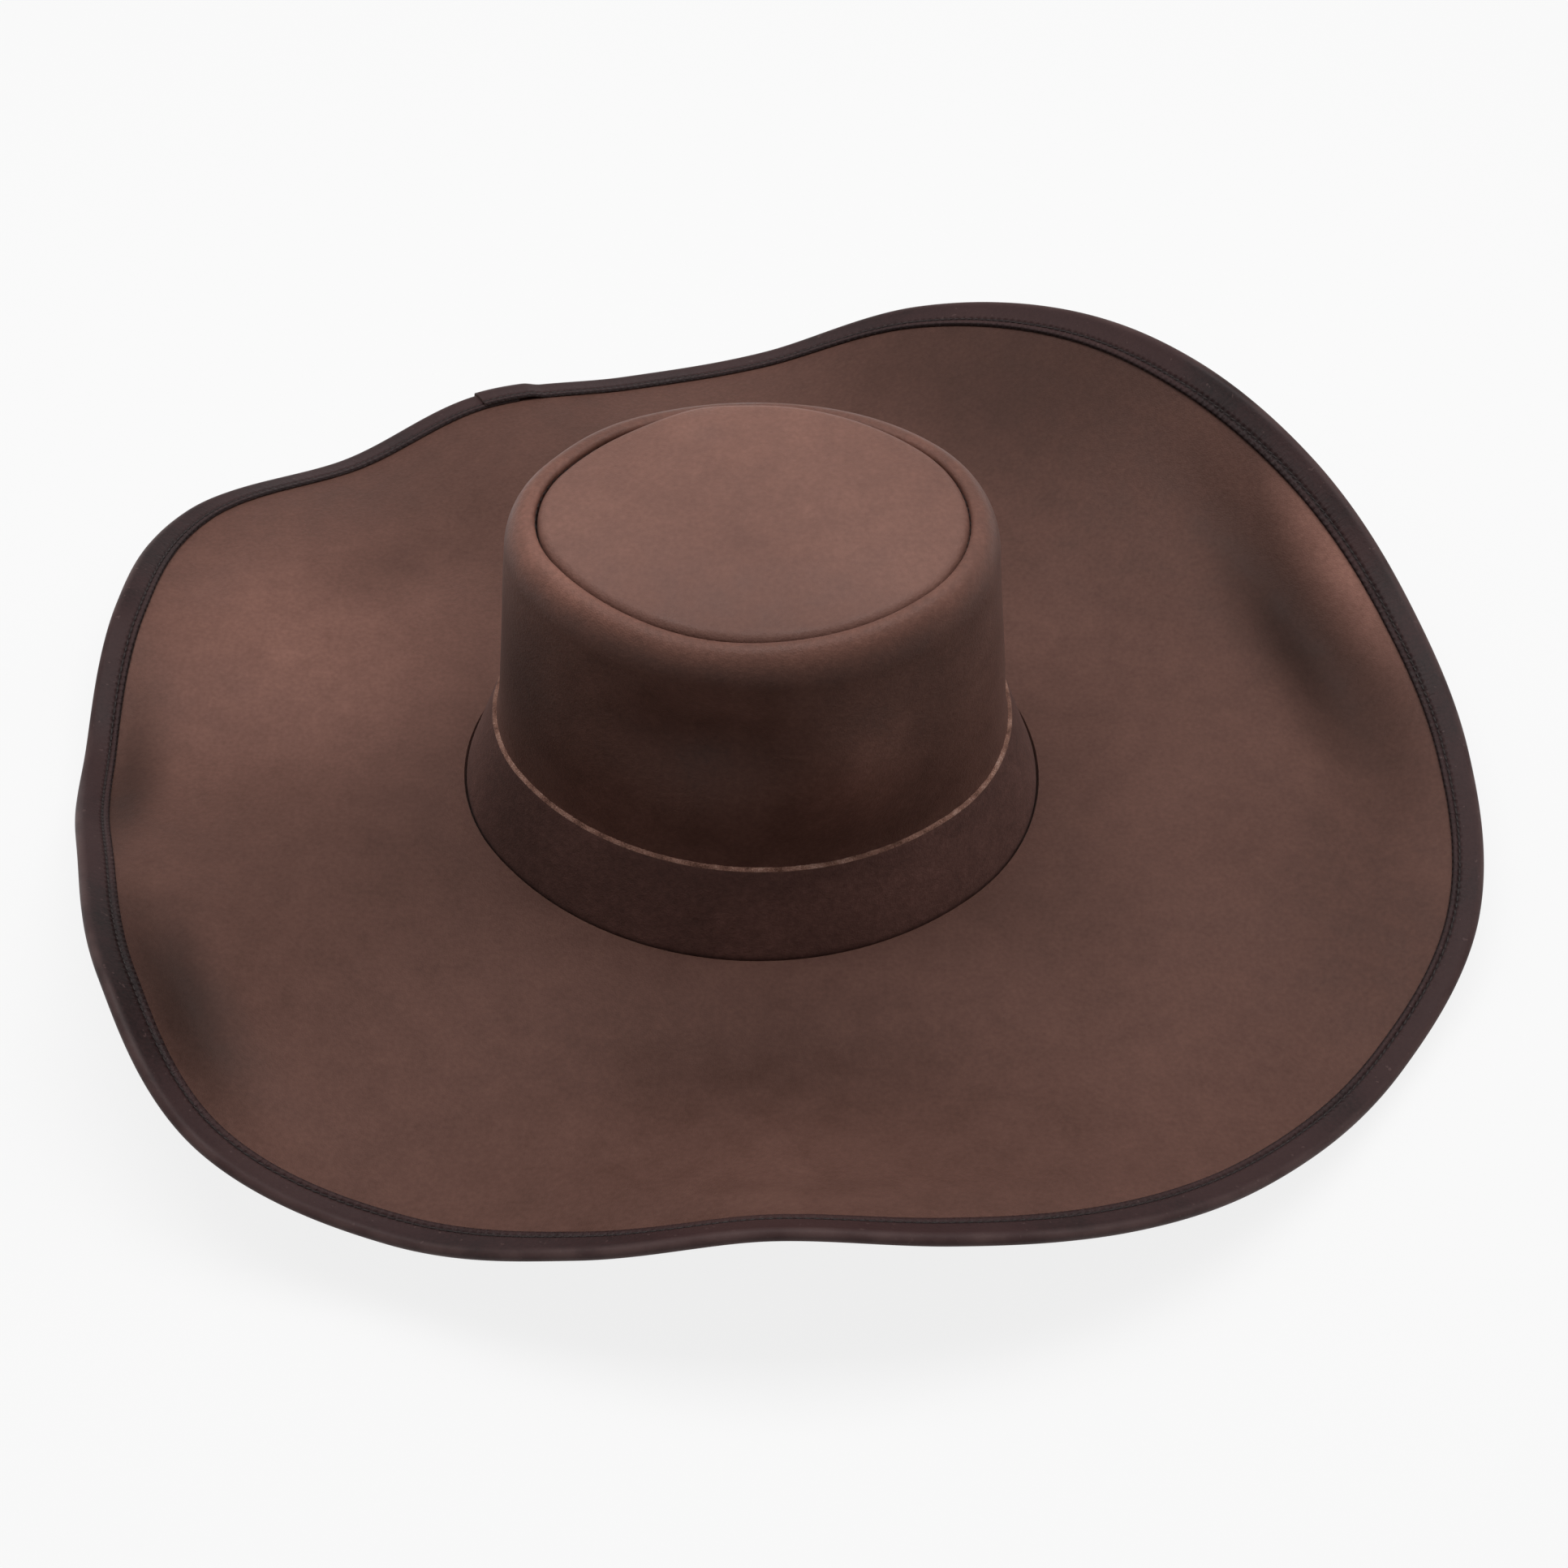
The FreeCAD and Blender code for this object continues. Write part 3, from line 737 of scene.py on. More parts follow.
@dataclass
class Strip:
    """A strip of leather with one cross-section, laid round the hat."""

    name: str
    corners: list[Corner]
    place: Place
    girth: float
    closed_section: bool = True
    first: float = 0.0
    last: float = math.tau
    steps: int = 360
    spacing: float = 0.004
    axis: PatternAxis = PatternAxis.ACROSS

    def build(self) -> bpy.types.Object:
        """Draw the section out into a flat strip, mark its surfaces and lay it on the hat.

        Returns:
            The strip as a mesh object at the origin.
        """
        mesh = bmesh.new()
        self.draw_section(mesh)
        drawn = bmesh.ops.extrude_edge_only(mesh, edges=mesh.edges[:])["geom"]
        far_end = [item for item in drawn if isinstance(item, bmesh.types.BMVert)]
        bmesh.ops.translate(mesh, verts=far_end, vec=(0, 1, 0))
        if self.closed_section and not math.isclose(self.last - self.first, math.tau):
            open_edges = [edge for edge in mesh.edges if edge.is_boundary]
            caps = bmesh.ops.holes_fill(mesh, edges=open_edges, sides=0)
            bmesh.ops.triangulate(mesh, faces=caps["faces"])
        lengthwise = [edge for edge in mesh.edges if abs(edge.verts[0].co.y - edge.verts[1].co.y) > 0.5]
        bmesh.ops.subdivide_edges(mesh, edges=lengthwise, cuts=self.steps - 1)
        self.mark_faces(mesh)
        for vert in mesh.verts:
            vert.co = self.place(self.turn_at(vert.co.y), vert.co.x, vert.co.z)
        bmesh.ops.remove_doubles(mesh, verts=mesh.verts[:], dist=1e-6)
        bmesh.ops.recalc_face_normals(mesh, faces=mesh.faces[:])
        return new_object(self.name, mesh)

    def draw_section(self, mesh: bmesh.types.BMesh) -> None:
        """Draw the cross-section as a wire, round its corners and divide its long edges.

        Args:
            mesh: The empty mesh to draw in.
        """
        points = [mesh.verts.new((corner.across, 0, corner.up)) for corner in self.corners]
        count = len(points)
        for number in range(count if self.closed_section else count - 1):
            mesh.edges.new((points[number], points[(number + 1) % count]))
        for point, corner in zip(points, self.corners):
            if corner.round_over:
                bmesh.ops.bevel(mesh, geom=[point], offset=corner.round_over, affect="VERTICES",
                                segments=corner.segments, profile=0.5, material=-1)
        for edge in mesh.edges[:]:
            cuts = int(edge.calc_length() / self.spacing)
            if cuts:
                bmesh.ops.subdivide_edges(mesh, edges=[edge], cuts=cuts)

    def turn_at(self, along: float) -> float:
        """The turn at a share of the flat strip's length."""
        return self.first + along * (self.last - self.first)

    def mark_faces(self, mesh: bmesh.types.BMesh) -> None:
        """Give each face its material slot, its smooth shading and its pattern coordinates.

        Args:
            mesh: The flat strip.
        """
        pattern = mesh.loops.layers.uv.new("Pattern")
        sides: dict[tuple[float, float], int] = {}
        metres = self.girth / math.tau
        for face in mesh.faces:
            middle = face.calc_center_median()
            key = (round(middle.x, 5), round(middle.z, 5))
            if key not in sides:
                sides[key] = self.side_at(middle.x, middle.z).value
            face.material_index = sides[key]
            face.smooth = True
            for loop in face.loops:
                spot = loop.vert.co
                across = spot.x if self.axis is PatternAxis.ACROSS else spot.z
                loop[pattern].uv = (self.turn_at(spot.y) * metres, across)

    def side_at(self, across: float, up: float) -> Side:
        """The kind of surface nearest to a place in the section."""
        spot = Vector((across, up))
        best, found = math.inf, Side.GRAIN
        count = len(self.corners)
        for number in range(count if self.closed_section else count - 1):
            start, end = self.corners[number], self.corners[(number + 1) % count]
            origin = Vector((start.across, start.up))
            run = Vector((end.across, end.up)) - origin
            share = min(max((spot - origin).dot(run) / run.length_squared, 0), 1)
            distance = (spot - origin - run * share).length
            if distance < best - 1e-7:
                best, found = distance, start.side
        return found


def new_object(name: str, mesh: bmesh.types.BMesh) -> bpy.types.Object:
    """Turn a bmesh into a linked object at the origin.

    Args:
        name: The object's name.
        mesh: The bmesh, which is freed.

    Returns:
        The new object.
    """
    data = bpy.data.meshes.new(name)
    mesh.to_mesh(data)
    mesh.free()
    item = bpy.data.objects.new(name, data)
    bpy.context.scene.collection.objects.link(item)
    return item


def hand_over(item: bpy.types.Object, finishes: Iterable[bpy.types.Material], slot: str, *nodes: str) -> None:
    """Dress a piece, fix it to the hat and report it.

    Args:
        item: The finished piece.
        finishes: Its materials, in slot order.
        slot: The record's material slot; not used.
        *nodes: The structural pieces that it stands for.
    """
    for finish in finishes:
        item.data.materials.append(finish)
    item.data.set_sharp_from_angle(angle=math.radians(55))
    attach(item, ROOT)
    if nodes:
        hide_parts(*nodes)
    log.info("%s: %d faces", item.name, len(item.data.polygons))


# Seams

@dataclass
class StitchRow:
    """A row of short stitches, each a slim rounded bead of thread lying in its seam."""

    pitch: float = 0.0032
    length: float = 0.0027
    thickness: float = 0.00062
    slant: float = 0.12
    seed: int = 1

    def sew(self, mesh: bmesh.types.BMesh, path: SeamPath) -> None:
        """Add a stitch for each pitch along a path.

        Args:
            mesh: The mesh to add to.
            path: Closely spaced points of the seam, each with the leather's outward normal.
        """
        bead = bmesh.new()
        bmesh.ops.create_uvsphere(bead, u_segments=6, v_segments=5, radius=0.5,
                                  matrix=Matrix.Rotation(math.pi / 2, 4, "Y"))
        stitch = bpy.data.meshes.new("stitch")
        bead.to_mesh(stitch)
        bead.free()
        chance = random.Random(self.seed)
        walked = 0.0
        for (start, normal), (end, _) in zip(path, path[1:]):
            walked += (end - start).length
            if walked < self.pitch:
                continue
            walked -= self.pitch
            along = (end - start).normalized()
            side = normal.cross(along).normalized()
            turned = (along + side * (self.slant + chance.uniform(-0.08, 0.08))).normalized()
            side = normal.cross(turned).normalized()
            length = self.length * chance.uniform(0.92, 1.04)
            size = Matrix.Diagonal((length, self.thickness, self.thickness, 1))
            lay = Matrix.Translation(start) @ Matrix((turned, side, normal)).transposed().to_4x4() @ size
            stitch.transform(lay)
            mesh.from_mesh(stitch)
            stitch.transform(lay.inverted())
        bpy.data.meshes.remove(stitch)


@dataclass
class Seams:
    """All the sewing thread on the hat."""

    oval: HeadOval
    form: BrimForm
    binding: "Binding"
    crown: "Crown"
    thread: bpy.types.Material
    edge_samples: int = 9000
    waist_samples: int = 3000
    upright_samples: int = 600
    row_offset: float = 0.004
    top_outset: float = -0.02055
    top_level: float = 0.1422
    opening_level: float = -0.0052
    inner_outset: float = 0.00958
    outer_outset: float = 0.01825

    def build(self) -> None:
        """Sew every seam and hand the thread over, one object for each group of rows."""
        self.finish("binding_thread", self.binding_rows())
        self.finish("crown_thread", self.crown_rows())

    def finish(self, name: str, rows: list[tuple[StitchRow, SeamPath]]) -> None:
        """Sew rows into one mesh.

        Args:
            name: The thread object's name.
            rows: Each stitch row with its path.
        """
        mesh = bmesh.new()
        for row, path in rows:
            row.sew(mesh, path)
        for face in mesh.faces:
            face.smooth = True
        hand_over(new_object(name, mesh), [self.thread], "thread")

    def binding_rows(self) -> list[tuple[StitchRow, SeamPath]]:
        """The two rows through the binding, seen above the brim and under it."""
        rows = []
        binding = self.binding
        for number, row in enumerate(binding.thread_rows()):
            path = []
            for step in range(self.edge_samples):
                turn = binding.start + binding.lap_turn + math.tau * step / self.edge_samples
                spot = binding.place(turn, row, binding.thread_level(row))
                above = binding.place(turn, row, binding.thread_level(row) + 0.001)
                path.append((spot, (above - spot).normalized()))
            rows.append((StitchRow(seed=number), path))
        return rows

    def crown_rows(self) -> list[tuple[StitchRow, SeamPath]]:
        """The top seam, the upright seams on the far side and the seam at the head opening."""
        turns = [math.tau * step / self.waist_samples for step in range(self.waist_samples + 1)]
        upward = Vector((0, 0, 1))
        top = [(self.crown.place_wall(turn, self.top_outset, self.top_level), upward) for turn in turns]
        rows = [(StitchRow(pitch=0.0036, length=0.0031, thickness=0.0006, seed=11), top)]
        for outset, foot, head in ((0.0, 0.042, 0.124), (0.0026, 0.003, 0.036)):
            for side in (-1, 1):
                rows.append((StitchRow(seed=20 + side), self.upright_row(outset, side, foot, head)))
        for outset, facing, seed in ((self.inner_outset, -1, 12), (self.outer_outset, 1, 13)):
            path = []
            for turn in turns:
                spot = self.oval.point(turn, outset, self.opening_level)
                outer = self.oval.point(turn, outset + 0.001, self.opening_level)
                path.append((spot, (outer - spot).normalized() * facing))
            rows.append((StitchRow(pitch=0.004, length=0.0033, seed=seed), path))
        return rows

    def upright_row(self, outset: float, side: int, foot: float, head: float) -> SeamPath:
        """A stitch row up the far side, a little way from the gap where the leather's two ends meet.

        Args:
            outset: Distance of the leather's face outside the wall's own face at the waist.
            side: -1 or 1, for the row before or after the gap.
            foot: Level of its lower end.
            head: Level of its upper end.

        Returns:
            The row's path.
        """
        crown = self.crown
        turn = crown.far_side + side * self.row_offset / self.oval.girth * math.tau
        path = []
        for step in range(self.upright_samples + 1):
            level = foot + (head - foot) * step / self.upright_samples
            face = crown.face_outset(level) + outset
            spot = crown.place_wall(turn, face, level)
            outer = crown.place_wall(turn, face + 0.001, level)
            path.append((spot, (outer - spot).normalized()))
        return path


# Sub-assemblies

@dataclass
class Brim:
    """The brim: one waved sheet, rolled and turned down at the head opening."""

    form: BrimForm
    pattern_width: float = 0.165

    def place(self, turn: float, across: float, up: float) -> Vector:
        """Lay a point of the flat strip on the brim.

        Args:
            turn: Share of the head oval's girth.
            across: Distance out from the end of the roll, below 0 in the roll and the turned edge.
            up: Height over the top face.

        Returns:
            The point on the hat.
        """
        form = self.form
        arc = form.roll * math.pi / 2
        if across >= 0:
            return form.off_face(turn, across / self.pattern_width, up)
        if across > -arc:
            angle = -across / form.roll
            reach = form.roll + up
            outset = form.seam_outset + form.roll - reach * math.sin(angle)
            return form.oval.point(turn, outset, reach * math.cos(angle) - form.roll)
        return form.oval.point(turn, form.seam_outset - up, -form.roll + across + arc)

    def build(self, finishes: Finishes) -> None:
        """Build and dress the brim.

        Args:
            finishes: Grain, flesh and edge.
        """
        form = self.form
        hem = -form.roll * math.pi / 2 - (form.turned - form.roll)
        corners = [
            Corner(hem, 0, Side.GRAIN, 0.0004, 2),
            Corner(self.pattern_width, 0, Side.EDGE, 0.0005, 2),
            Corner(self.pattern_width, -form.leather, Side.FLESH, 0.0005, 2),
            Corner(hem, -form.leather, Side.EDGE, 0.0004, 2),
        ]
        strip = Strip("waved_brim", corners, self.place, form.oval.girth * 2, steps=720, spacing=0.004)
        hand_over(strip.build(), finishes, "brim_leather", "brim")


@dataclass
class Binding:
    """The binding: a thin strip folded over the brim's edge, double-sewn, its end lapped over its start."""

    form: BrimForm
    leather: float = 0.0010
    cover: float = 0.0100
    lap: float = 0.016
    gap: float = 0.00035
    start: float = math.radians(113)
    ridge: float = 0.0029
    groove: float = 0.00045
    pattern_girth: float = 1.72

    @property
    def fold(self) -> float:
        """Length of the strip that goes round the edge."""
        return math.pi * (self.form.leather / 2 + self.gap + self.leather / 2)

    @property
    def strip_width(self) -> float:
        """Full width of the strip before it is folded."""
        return 2 * self.cover + self.fold

    @property
    def lap_turn(self) -> float:
        """The lap as a share of a turn."""
        start, cut, *_ = self.form.span(self.start)
        return self.lap / (start + cut).length

    def thread_rows(self) -> tuple[float, ...]:
        """Distances of the thread rows from the strip's top edge, above the brim and then under it."""
        return (0.0003, self.ridge, self.strip_width - self.ridge, self.strip_width - 0.0003)

    def thread_level(self, row: float) -> float:
        """How high a row's thread lies over the inner face of the strip."""
        outer = min(row, self.strip_width - row) < 0.001
        return 0.00045 if outer else self.leather - self.groove + 0.0001

    def stepped_up(self, turn: float) -> float:
        """How far the strip has stepped outwards to clear its own start."""
        done = 1 + (turn - self.start - math.tau + self.lap_turn / 3) / (self.lap_turn / 2)
        done = min(max(done, 0), 1)
        return (self.leather + self.gap) * done ** 2 * (3 - 2 * done)

    def place(self, turn: float, across: float, up: float) -> Vector:
        """Lay a point of the flat strip round the brim's edge.

        Args:
            turn: Share of the head oval's girth, running past a full round in the lap.
            across: Distance from the strip's top edge, over the fold, to its lower edge.
            up: Height over the strip's inner face.

        Returns:
            The point on the hat.
        """
        form = self.form
        clear = self.gap + up + self.stepped_up(turn)
        width = form.span(turn)[1].length
        if across < self.cover:
            return form.off_face(turn, 1 - (self.cover - across) / width, clear)
        past = across - self.cover
        if past <= self.fold:
            return form.round_edge(turn, past / self.fold * math.pi, form.leather / 2 + clear)
        return form.off_face(turn, 1 - (past - self.fold) / width, -form.leather - clear)

    def build(self, finishes: Finishes) -> None:
        """Build and dress the binding.

        Args:
            finishes: Grain, flesh and edge.
        """
        width, leather = self.strip_width, self.leather
        half = [
            (0.0, 0.00045), (0.0005, leather + 0.0002), (self.ridge - 0.0011, leather + 0.00022),
            (self.ridge - 0.0004, leather - self.groove), (self.ridge + 0.0004, leather - self.groove),
            (self.ridge + 0.0012, leather - 0.00005), (self.cover - 0.0015, leather),
        ]
        outer = half + [(width - across, up) for across, up in reversed(half)]
        corners = [Corner(across, up, Side.GRAIN, 0.00018, 2) for across, up in outer]
        corners[-1] = Corner(*outer[-1], Side.EDGE)
        corners += [Corner(width, 0, Side.FLESH), Corner(0, 0, Side.EDGE)]
        strip = Strip("edge_binding", corners, self.place, self.pattern_girth, first=self.start,
                      last=self.start + math.tau + self.lap_turn, steps=1100, spacing=0.0011)
        hand_over(strip.build(), finishes, "binding_leather", "brim_binding")


@dataclass
class Crown:
    """The crown: its wall, rolled over at the shoulder into the top seam, and its domed tip."""

    oval: HeadOval
    leather: float = 0.0022
    tip_leather: float = 0.0020
    height: float = 0.145
    lean: float = 0.010
    flare: float = 0.013
    band_height: float = 0.039
    rim: float = 0.0105
    rim_drop: float = 0.018
    seam_roll: float = 0.0022
    allowance: float = 0.009
    turned: float = 0.008
    tip_roll: float = 0.004
    dome: float = 0.003
    seam_gap: float = 0.0002
    slit: float = 0.00015
    rim_steps: int = 14
    flat_outset: float = -0.046
    swell_outset: float = -0.0985
    swell_fade: float = 0.03
    wall_dents: tuple[Dent, ...] = ()
    rim_dents: tuple[Dent, ...] = ()
    tip_dents: tuple[Dent, ...] = ()

    @property
    def far_side(self) -> float:
        """The turn at which the upright seams meet, in the middle of the far side."""
        low, high = 0.0, math.pi
        for _ in range(50):
            middle = (low + high) / 2
            low, high = (middle, high) if self.oval.point(middle, 0, 0).x > 0 else (low, middle)
        return (low + high) / 2

    def round_from_seam(self, slit: float) -> dict[str, float]:
        """The first and last turn of a piece that runs round from the upright seam and back to it."""
        half = slit / 2 / self.oval.girth * math.tau
        return {"first": self.far_side + half, "last": self.far_side + math.tau - half}

    def place_wall(self, turn: float, across: float, up: float) -> Vector:
        """Lay a point of the wall on the head oval, with the wall's soft dents and its uneven rim."""
        spot = self.oval.point(turn, across, up)
        heading = math.degrees(math.atan2(spot.y, spot.x))
        push = sum(dent.at(heading, up) for dent in self.wall_dents)
        lift = sum(dent.at(heading, up) for dent in self.rim_dents)
        return self.oval.point(turn, across + push, up + lift)

    def face_outset(self, level: float) -> float:
        """How far the wall's outer face stands outside the oval at a level below its rim."""
        if level < self.band_height:
            return self.flare * (1 - max(level, 0) / self.band_height)
        return -self.lean * (level - self.band_height) / (self.height - self.band_height)

    def rim_arc(self, inset: float, side: Side) -> list[Corner]:
        """The soft roll from the top of the rim down into the wall, a quarter of an ellipse.

        Args:
            inset: Distance inside the wall's outer face.
            side: The kind of surface along the roll.

        Returns:
            Corners from the top of the rim to the wall.
        """
        start = -self.lean - self.rim + self.seam_roll + 0.0006
        foot = self.height - self.rim_drop
        wall = self.face_outset(foot)
        arc = []
        for step in range(self.rim_steps + 1):
            angle = math.pi / 2 * step / self.rim_steps
            across = start + (wall - inset - start) * math.sin(angle)
            arc.append(Corner(across, foot + (self.rim_drop - inset) * math.cos(angle), side))
        return arc

    def place_tip(self, turn: float, across: float, up: float) -> Vector:
        """Lay a point of the tip: on the oval near its rim, and drawn in to the middle further in."""
        if across >= self.flat_outset:
            spot = self.oval.point(turn, across, up)
        else:
            share = (across + self.oval.waist) / (self.flat_outset + self.oval.waist)
            flat_edge = self.oval.point(turn, self.flat_outset, up)
            spot = Vector((flat_edge.x * share, flat_edge.y * share, up))
        heading = math.degrees(math.atan2(spot.y, spot.x))
        near_rim = min(max((across - self.swell_outset) / self.swell_fade, 0), 1)
        swell = sum(dent.at(heading, across) for dent in self.tip_dents) * near_rim
        return spot + Vector((0, 0, swell))

    def build_wall(self, finishes: Finishes) -> None:
        """Build and dress the wall.

        Args:
            finishes: Grain, flesh and edge.
        """
        skin = self.leather
        hem, seam = self.flare, -self.lean - self.rim
        end = self.height - self.seam_roll - self.allowance
        corners = [
            Corner(hem - skin, -self.turned, Side.EDGE),
            Corner(hem, -self.turned, Side.GRAIN),
            Corner(hem, 0, Side.GRAIN, 0.002),
            Corner(0, self.band_height, Side.GRAIN, 0.012, 8),
            *reversed(self.rim_arc(0, Side.GRAIN)),
            Corner(seam, self.height, Side.GRAIN, self.seam_roll, 6),
            Corner(seam, end, Side.EDGE),
            Corner(seam + skin, end, Side.FLESH),
            Corner(seam + skin, self.height - skin, Side.FLESH),
            *self.rim_arc(skin, Side.FLESH),
            Corner(-skin, self.band_height, Side.FLESH, 0.012, 6),
            Corner(hem - skin, 0, Side.FLESH, 0.002),
        ]
        strip = Strip("crown_wall", corners, self.place_wall, self.oval.girth, steps=480, spacing=0.003,
                      axis=PatternAxis.UP, **self.round_from_seam(self.slit))
        hand_over(strip.build(), finishes, "crown_leather", "crown_side")

    def build_tip(self, finishes: Finishes) -> None:
        """Build and dress the tip.

        Args:
            finishes: Grain, flesh and edge.
        """
        skin = self.tip_leather
        edge = -self.lean - self.rim - self.seam_gap
        end = self.height - self.seam_roll - self.allowance
        crest = self.height + self.dome
        centre = -self.oval.waist
        corners = [
            Corner(centre, crest, Side.GRAIN),
            Corner(edge - self.tip_roll - 0.030, crest, Side.GRAIN, 0.012, 6),
            Corner(edge - self.tip_roll - 0.008, self.height + 0.0016, Side.GRAIN, 0.006, 4),
            Corner(edge, self.height + 0.0002, Side.GRAIN, self.tip_roll, 8),
            Corner(edge, end, Side.EDGE),
            Corner(edge - skin, end, Side.FLESH),
            Corner(edge - skin, self.height - skin, Side.FLESH, self.tip_roll - skin, 6),
            Corner(edge - self.tip_roll - 0.030, crest - skin, Side.FLESH, 0.010, 6),
            Corner(centre, crest - skin, Side.FLESH),
        ]
        strip = Strip("crown_top", corners, self.place_tip, self.oval.girth, closed_section=False, steps=360,
                      spacing=0.003)
        hand_over(strip.build(), finishes, "tip_leather", "crown_tip")


@dataclass
class Band:
    """The flared band: its raw top edge grips the waist and its foot goes into the brim's seam."""

    crown: Crown
    leather: float = 0.0024
    gap: float = 0.0002
    slit: float = 0.00006
    fray: float = 0.00022
    frayed_depth: float = 0.0012

    def place(self, turn: float, across: float, up: float) -> Vector:
        """Lay a point of the band on the head oval, its top edge a little frayed."""
        top = self.crown.band_height
        near_top = min(max((up - top + self.frayed_depth) / 0.0010, 0), 1)
        along = turn * self.crown.oval.girth / math.tau
        rough = noise.noise(Vector((along * 900, across * 500, 0))) + noise.noise(Vector((along * 210, 0, 3)))
        spot = self.crown.place_wall(turn, across, up)
        return spot + Vector((0, 0, rough * self.fray * near_top))

    def build(self, finishes: Finishes) -> None:
        """Build and dress the band.

        Args:
            finishes: Grain, flesh and edge.
        """
        crown, skin = self.crown, self.leather
        foot = crown.flare + self.gap
        corners = [
            Corner(foot, -crown.turned, Side.EDGE),
            Corner(foot + skin, -crown.turned, Side.GRAIN),
            Corner(foot + skin, 0, Side.GRAIN, 0.002),
            Corner(self.gap + skin, crown.band_height - 0.0007, Side.EDGE, 0.0003, 2),
            Corner(self.gap + skin - 0.0007, crown.band_height, Side.EDGE, 0.0003, 2),
            Corner(self.gap, crown.band_height, Side.FLESH, 0.0003, 2),
            Corner(foot, 0, Side.FLESH, 0.002),
        ]
        strip = Strip("flared_band", corners, self.place, crown.oval.girth, steps=1200, spacing=0.003,
                      axis=PatternAxis.UP, **crown.round_from_seam(self.slit))
        hand_over(strip.build(), finishes, "band_leather", "crown_band")


@dataclass
class Lining:
    """What is sewn and glued inside: the sweatband, and the tape behind the wall's upright seam."""

    crown: Crown
    sweat_leather: float = 0.0012
    sweat_height: float = 0.034
    tape_leather: float = 0.0010
    tape_width: float = 0.020
    gap: float = 0.0002

    def build(self, finishes: Finishes) -> None:
        """Build and dress the sweatband and the tape.

        Args:
            finishes: Grain, flesh and edge.
        """
        self.build_sweatband(finishes)
        self.build_tape(finishes)

    def build_sweatband(self, finishes: Finishes) -> None:
        """Build and dress the sweatband, which stands inside the wall's foot."""
        crown, skin = self.crown, self.sweat_leather
        foot = crown.flare - crown.leather - self.gap
        head = foot - crown.flare * self.sweat_height / crown.band_height
        corners = [
            Corner(foot - skin, -crown.turned, Side.EDGE),
            Corner(foot, -crown.turned, Side.FLESH),
            Corner(foot, 0, Side.FLESH),
            Corner(head, self.sweat_height, Side.EDGE),
            Corner(head - skin, self.sweat_height, Side.GRAIN, 0.0004, 2),
            Corner(foot - skin, 0, Side.GRAIN, 0.002),
        ]
        strip = Strip("inner_sweatband", corners, crown.place_wall, crown.oval.girth, steps=300,
                      spacing=0.003, axis=PatternAxis.UP, **crown.round_from_seam(crown.slit))
        hand_over(strip.build(), finishes, "sweatband_leather", "sweatband")

    def build_tape(self, finishes: Finishes) -> None:
        """Build and dress the tape, which backs the wall's upright seam up to the shoulder."""
        crown, skin = self.crown, self.tape_leather
        foot = -crown.leather - self.gap
        head = foot - crown.lean
        top = crown.height - crown.rim + crown.seam_roll
        corners = [
            Corner(foot - skin, crown.band_height, Side.EDGE),
            Corner(foot, crown.band_height, Side.FLESH),
            Corner(head, top, Side.EDGE),
            Corner(head - skin, top, Side.GRAIN),
        ]
        half = self.tape_width / 2 / crown.oval.girth * math.tau
        strip = Strip("seam_backing", corners, crown.place_wall, crown.oval.girth, steps=12, spacing=0.004,
                      first=crown.far_side - half, last=crown.far_side + half, axis=PatternAxis.UP)
        hand_over(strip.build(), finishes, "tape_leather", "side_seam_tape")


@dataclass(frozen=True)
class Lamp:
    """A rectangular lamp that faces the hat: where it hangs, its width and depth, and its power in watts."""

    name: str
    spot: Spot
    size: tuple[float, float]
    power: float

    def hang(self) -> None:
        """Hang it in the scene."""
        data = bpy.data.lights.new(self.name, "AREA")
        data.shape = "RECTANGLE"
        data.size, data.size_y = self.size
        data.energy = self.power
        item = bpy.data.objects.new(self.name, data)
        item.location = self.spot
        item.rotation_euler = (-Vector(self.spot)).to_track_quat("-Z", "Y").to_euler()
        bpy.context.scene.collection.objects.link(item)


